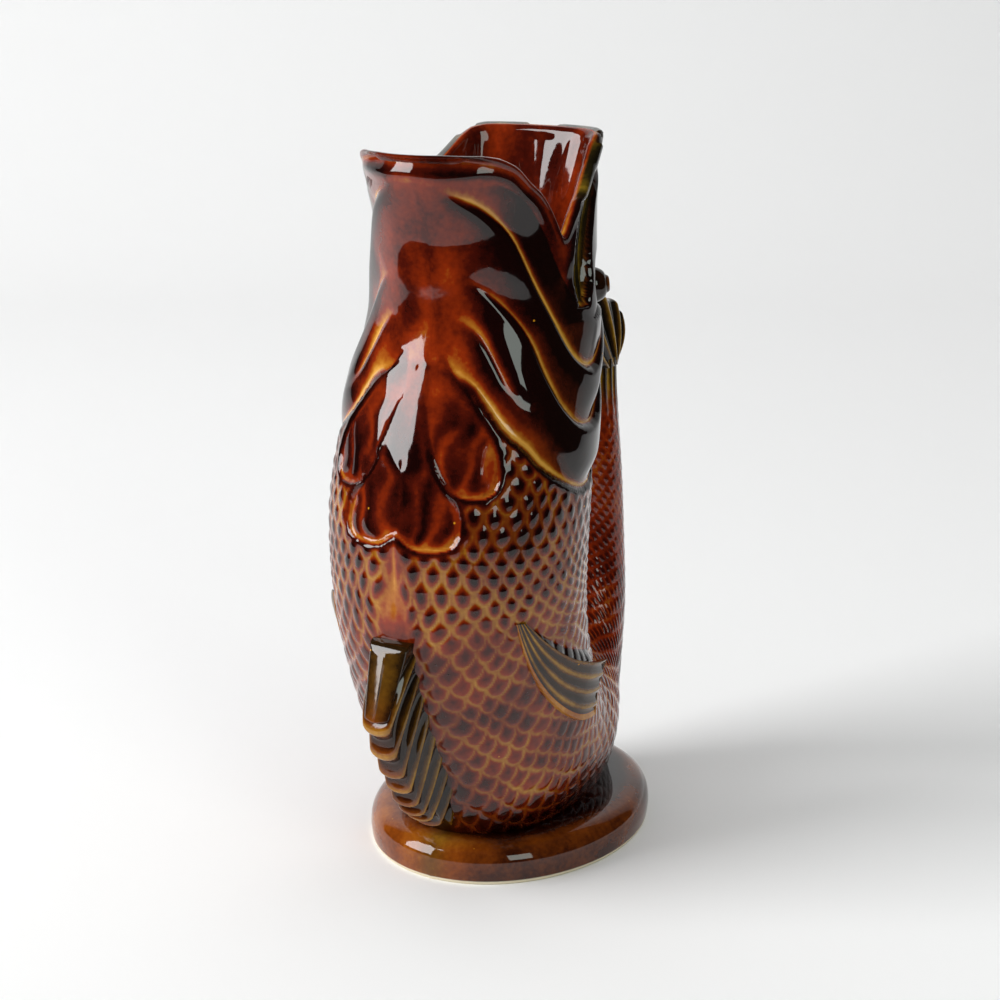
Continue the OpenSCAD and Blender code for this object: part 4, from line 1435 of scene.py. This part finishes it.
@dataclass
class SideFin:
    """A ribbed fan low on one flank, with a free upper edge that stands off the body."""

    form: FishForm
    finish: bpy.types.Material
    side: int
    lift: float = 6.5
    sheet: float = 1.4
    pocket: float = 5.6
    pocket_share: float = 0.38
    sink: float = 2.5
    ribs: int = 4
    low: tuple = ((0.302, 8.62), (0.34, 9.65), (0.39, 10.45), (0.455, 11.1), (0.53, 11.5))
    high: tuple = SIDE_FIN_EDGE
    rise: tuple = (0.30, 0.34, 0.52, 0.76, 1)
    length: tuple = (0.10, 0.42, 0.74, 0.95, 1)

    def build(self) -> None:
        """Builds the fan as a closed sheet with a rolled free edge and a pocket behind it."""
        t = np.linspace(0, 1, 60)[:, None]
        across = np.linspace(0, 1, 81)[None]
        low, high = curve(self.low, t[:, 0])[:, None], curve(self.high, t[:, 0])[:, None]
        grow = along(self.length, t)
        crest = rib_wave(across, self.ribs, 1.6)
        edge = np.sqrt(np.clip(across / 0.05, 0, 1))
        top_lift = grow * (self.lift * along(self.rise, across) + 0.8 * crest - 0.2) * edge
        top_lift = top_lift - 1.2 * (1 - edge)
        top = mix(low, high, across[..., None])
        roll = np.linspace(0, 1, 16)[None]
        back = 1 - self.pocket_share * roll
        under_lift = grow * (self.lift * 0.98 - self.sheet - self.pocket * smoothstep(0.0, 1.0, roll))
        under = mix(low, high, back[..., None])
        first = mix(low, high, np.array([[-0.03]])[..., None])
        places = np.concatenate([first, top, under, under[:, -1:], first], 1)
        flat = np.full_like(t, -self.sink)
        lifts = np.concatenate([flat + 1, top_lift, under_lift, flat, flat], 1)
        rings = self.form.over_skin(places[..., 0], places[..., 1], lifts)
        rings[..., 0] *= self.side
        # Painted shade under the sheet (the darkest tone), light on the ribs and bare amber along its lower
        # and its free edge
        count, low_edge = across.size + 1, 12
        pool = np.full(rings.shape[:2], 0.08)
        pool[:, 1:count] = 0.22 + 0.46 * crest
        pool[:, 1:low_edge] = 0.72
        pool[:, count - 3 : count + 1] = 0.5
        olive = np.full(pool.shape, 0.75)
        olive[:, : low_edge + 1] = 0.1
        hand = HANDS[self.side]
        values = {"pool": pool, "olive": olive}
        piece = lofted(f"side_fin_{hand}_fan", rings, values, flip=self.side < 0)
        place_piece(piece, self.finish, "fin_glaze", f"side_fin_{hand}")


@dataclass
class TailFin:
    """The ribbed fan that joins the tail's end to the back of the head."""

    form: FishForm
    finish: bpy.types.Material
    height: float = 21.0
    thickness: float = 7.0
    ribs: int = 7
    rib_depth: float = 1.1
    head_row: float = 5.0
    shares: tuple = (
        (0.02, -0.15, 0.46, 0.35, 0.58), (0.12, -0.09, 0.72, 0.20, 0.75), (0.30, 0.09, 0.94, 0.08, 0.95),
        (0.50, 0.36, 1.00, 0, 1), (0.70, 0.64, 0.98, 0, 0.95), (0.88, 0.92, 0.92, 0, 0.75),
        (0.98, 1.06, 0.46, 0, 0.58),
    )

    def build(self) -> None:
        """Builds the fan as slices, each along one line of a rib."""
        end = self.form.rows()[-1]
        seat = end[1]
        head = self.form.skin(np.array(self.head_row), np.array(1.0))[1]
        t = np.linspace(0, 1, self.ribs * 12 + 1)
        f = curve(self.shares, t)
        wave = rib_wave(t, self.ribs, 1.2, ends=-1)
        zero = np.zeros_like(t)
        root = np.stack([zero, mix(end[0], end[2], f[:, 0]), zero + seat - 3], -1)
        top = seat + self.height * f[:, 2] + 0.5 * wave
        tip = np.stack([zero, mix(end[0], head, f[:, 1]), top], -1)
        knee = (root + tip) / 2
        knee[:, 1] += end[4] * f[:, 3]
        root_half = end[4] * f[:, 4] - 0.6 + 0.6 * wave
        tip_half = self.thickness / 2 - 0.6 + self.rib_depth * wave
        knee_half = (root_half + tip_half) / 2 + 0.6 * self.rib_depth * wave
        rings = Fan(root, knee, tip, np.stack([root_half, knee_half, tip_half])).rings()
        rings = capped(capped(rings)[::-1])[::-1]
        end_tone = [0.4] * len(CAP_STEPS)
        tone = np.concatenate([end_tone, 0.10 + 0.60 * wave**2.0, end_tone])
        pool = np.repeat(tone[:, None], rings.shape[1], 1)
        values = {"pool": pool, "olive": np.full(pool.shape, 0.85)}
        piece = lofted("tail_fin_fan", rings, values, flip=True)
        place_piece(piece, self.finish, "fin_glaze", "tail_fin")


@dataclass
class Eye:
    """A domed eye with a raised pupil."""

    form: FishForm
    finish: bpy.types.Material
    side: int
    width: float = 12.0
    place: tuple = EYE_PLACE
    # The raised pupil's edge and the groove outside it, in degrees from the dome's middle
    pupil: float = 22.0
    groove: float = 34.0

    def build(self) -> None:
        """Builds the dome as rings round its outward axis."""
        around, row = (np.array(v) for v in self.place)
        centre = self.form.over_skin(around, row, np.array(-self.width / 6))
        out = unit(self.form.over_skin(around, row, np.array(1.0)) - self.form.skin(row, around))
        up = unit(np.array([0.0, 0.0, 1.0]) - out * out[2])
        right = np.cross(up, out)
        tilt = np.linspace(-0.85 * np.pi / 2, 0.985 * np.pi / 2, 40)
        turn = np.linspace(0, 2 * np.pi, 64, endpoint=False)
        polar = np.degrees(np.pi / 2 - tilt)
        carved = 0.35 * ridge(polar - self.pupil, 7) - 0.3 * ridge(polar - self.groove, 6)
        radius = self.width / 2 + carved
        ring = radius[:, None] * np.cos(tilt)[:, None]
        lift = radius[:, None] * np.sin(tilt)[:, None]
        rings = (
            centre
            + out * lift[..., None]
            + right * (ring * np.cos(turn))[..., None]
            + up * (ring * np.sin(turn))[..., None]
        )
        rings[..., 0] *= self.side
        pool = np.repeat((0.20 + 0.4 * ridge(polar - self.pupil, 8))[:, None], len(turn), 1)
        hand = HANDS[self.side]
        values = {"pool": pool, "olive": np.full(pool.shape, 0.6)}
        piece = lofted(f"eye_{hand}_dome", rings, values, flip=self.side < 0)
        place_piece(piece, self.finish, "dark_glaze", f"eye_{hand}")


# ---------------------------------------------------------------- studio


@dataclass
class Studio:
    """A round-fronted white table before a swept backdrop, softboxes and the camera."""

    distance: float = 0.700
    camera_height: float = 0.321
    azimuth: float = 28.0
    yaw: float = -0.34
    pitch: float = 16.05
    lens: float = 75.3
    sensor: float = 36.0
    table_front: float = 0.56
    sweep_start: float = 1.0
    sweep_radius: float = 0.5
    backdrop_heights: tuple = (1.2, 2.2)
    widest: float = 2.2

    def __post_init__(self) -> None:
        """Finds the level directions away from the camera and to its right."""
        phi = math.radians(self.azimuth)
        self.ahead = np.array([-math.sin(phi), math.cos(phi), 0])
        self.right = np.array([math.cos(phi), math.sin(phi), 0])

    def build(self) -> None:
        """Builds the floor, the lights and the camera."""
        self.build_floor()
        self.build_lights()
        self.build_camera()

    def build_floor(self) -> None:
        """Builds the floor and the backdrop that rises behind the jug in one sweep."""
        radius, start = self.sweep_radius, self.sweep_start
        turn = np.linspace(0, math.pi / 2, 24)[1:]
        front = -self.table_front * np.cos(np.linspace(0.06, math.pi / 2, 24))
        level = np.concatenate([front, np.linspace(0, start, 16)[1:]])
        depth = np.concatenate([level, start + radius * np.sin(turn), [start + radius] * 2])
        height = np.concatenate([level * 0, radius * (1 - np.cos(turn)), self.backdrop_heights])
        round_front = np.sqrt(np.maximum(self.table_front**2 - np.minimum(depth, 0) ** 2, 0))
        wider = 1 + 0.5 * smoothstep(-0.25, 0.05, depth)
        half = np.minimum(round_front * wider + 2.5 * np.maximum(depth, 0), self.widest)
        across = np.linspace(-1, 1, 17)
        points = [
            self.ahead * d + self.right * a * w + (0, 0, h)
            for d, h, w in zip(depth, height, half)
            for a in across
        ]
        n = len(across)
        faces = [
            [i * n + j, i * n + j + 1, (i + 1) * n + j + 1, (i + 1) * n + j]
            for i in range(len(height) - 1)
            for j in range(n - 1)
        ]
        floor = build_mesh("studio_floor", np.array(points) / MM, [np.array(faces)])
        floor.data.materials.append(StudioPaint().make())

    def light(
        self, name: str, aim: tuple, size: tuple, power: float, colour: str = "#FFFFFF",
        glossy: bool = True, target: tuple = (0, 0, 0.13),
    ) -> None:
        """Hangs one softbox, turned to the jug's middle or to another place.

        Args:
            name: Its name.
            aim: Its azimuth and elevation in degrees and its distance in metres, from its target.
            size: Its width and height in metres.
            power: Its power in watts.
            colour: Its colour.
            glossy: Whether the glaze mirrors it.
            target: The place that it is turned to.
        """
        azimuth, elevation, distance = aim
        lamp = bpy.data.lights.new(name, "AREA")
        lamp.shape = "RECTANGLE"
        lamp.size, lamp.size_y = size
        lamp.energy = power
        lamp.color = linear(colour)[:3]
        box = bpy.data.objects.new(name, lamp)
        bpy.context.scene.collection.objects.link(box)
        a, e = math.radians(azimuth), math.radians(elevation)
        way = Vector((math.sin(a) * math.cos(e), -math.cos(a) * math.cos(e), math.sin(e)))
        box.location = Vector(target) + way * distance
        box.rotation_euler = way.to_track_quat("Z", "Y").to_euler()
        box.visible_glossy = glossy
        box.visible_camera = False

    def build_lights(self) -> None:
        """Hangs the softboxes and sets the dark room round them."""
        self.light("key_softbox", (-45, 28, 2.2), (1.25, 1.35), 49)
        self.light("side_softbox", (57, 22, 1.7), (0.55, 0.7), 6, "#DDE8E0")
        self.light("top_fill", (10, 74, 2.2), (3.0, 3.0), 30, glossy=False)
        self.light("back_fill", (180, 35, 2.0), (3.0, 1.5), 9, glossy=False)
        behind = tuple(self.ahead * 1.4 + (0, 0, 0.3))
        above = (self.azimuth, 76, 1.2)
        self.light("backdrop_light", above, (1.8, 0.5), 1.2, glossy=False, target=behind)
        world = bpy.data.worlds.new("dark_room")
        world.use_nodes = True
        background = world.node_tree.nodes["Background"]
        background.inputs["Color"].default_value = linear("#3A3A3C")
        background.inputs["Strength"].default_value = 0.4
        bpy.context.scene.world = world
        view = bpy.context.scene.view_settings
        view.view_transform = "Standard"
        view.look = "None"

    def build_camera(self) -> None:
        """Sets the camera where the photograph was taken from."""
        yaw, pitch = math.radians(self.yaw), math.radians(self.pitch)
        ahead, side = Vector(self.ahead), Vector(self.right)
        forward = ahead * math.cos(yaw) + side * math.sin(yaw)
        right = side * math.cos(yaw) - ahead * math.sin(yaw)
        top = Vector((0, 0, 1))
        view = forward * math.cos(pitch) - top * math.sin(pitch)
        up = top * math.cos(pitch) + forward * math.sin(pitch)
        lens = bpy.data.cameras.new("camera")
        lens.lens = self.lens
        lens.sensor_width = self.sensor
        lens.sensor_fit = "HORIZONTAL"
        lens.clip_start = 0.01
        camera = bpy.data.objects.new("camera", lens)
        bpy.context.scene.collection.objects.link(camera)
        place = -ahead * self.distance
        turn = Matrix((right, up, -view)).transposed().to_4x4()
        camera.matrix_world = Matrix.Translation((place.x, place.y, self.camera_height)) @ turn
        bpy.context.scene.camera = camera


def main() -> None:
    """Builds the jug piece by piece, then the studio."""
    logging.basicConfig(level=logging.INFO, format="%(message)s")
    form = FishForm()
    grid = SkinGrid(form)
    relief = Relief(grid)
    finishes = {
        "body": TreacleGlaze("treacle_glaze_body").make(),
        "red": TreacleGlaze(
            "treacle_glaze_red", deep="#420A04", middle="#8E2606", thin="#B65A16", edge="#D8983C"
        ).make(),
        "dark": TreacleGlaze("treacle_glaze_dark", bias=-0.04).make(),
        "fin": TreacleGlaze("treacle_glaze_fin").make(),
        "foot": TreacleGlaze("treacle_glaze_foot", deep="#3C1606", middle="#7E3C0C", thin="#A86018").make(),
    }
    FishBody(form, grid, relief, finishes).build()
    Foot(finishes["foot"]).build()
    BellyFin(form, finishes["fin"]).build()
    for side in HANDS:
        SideFin(form, finishes["fin"], side).build()
        Eye(form, finishes["dark"], side).build()
    TailFin(form, finishes["fin"]).build()
    Studio().build()


if __name__ == "__main__":
    main()
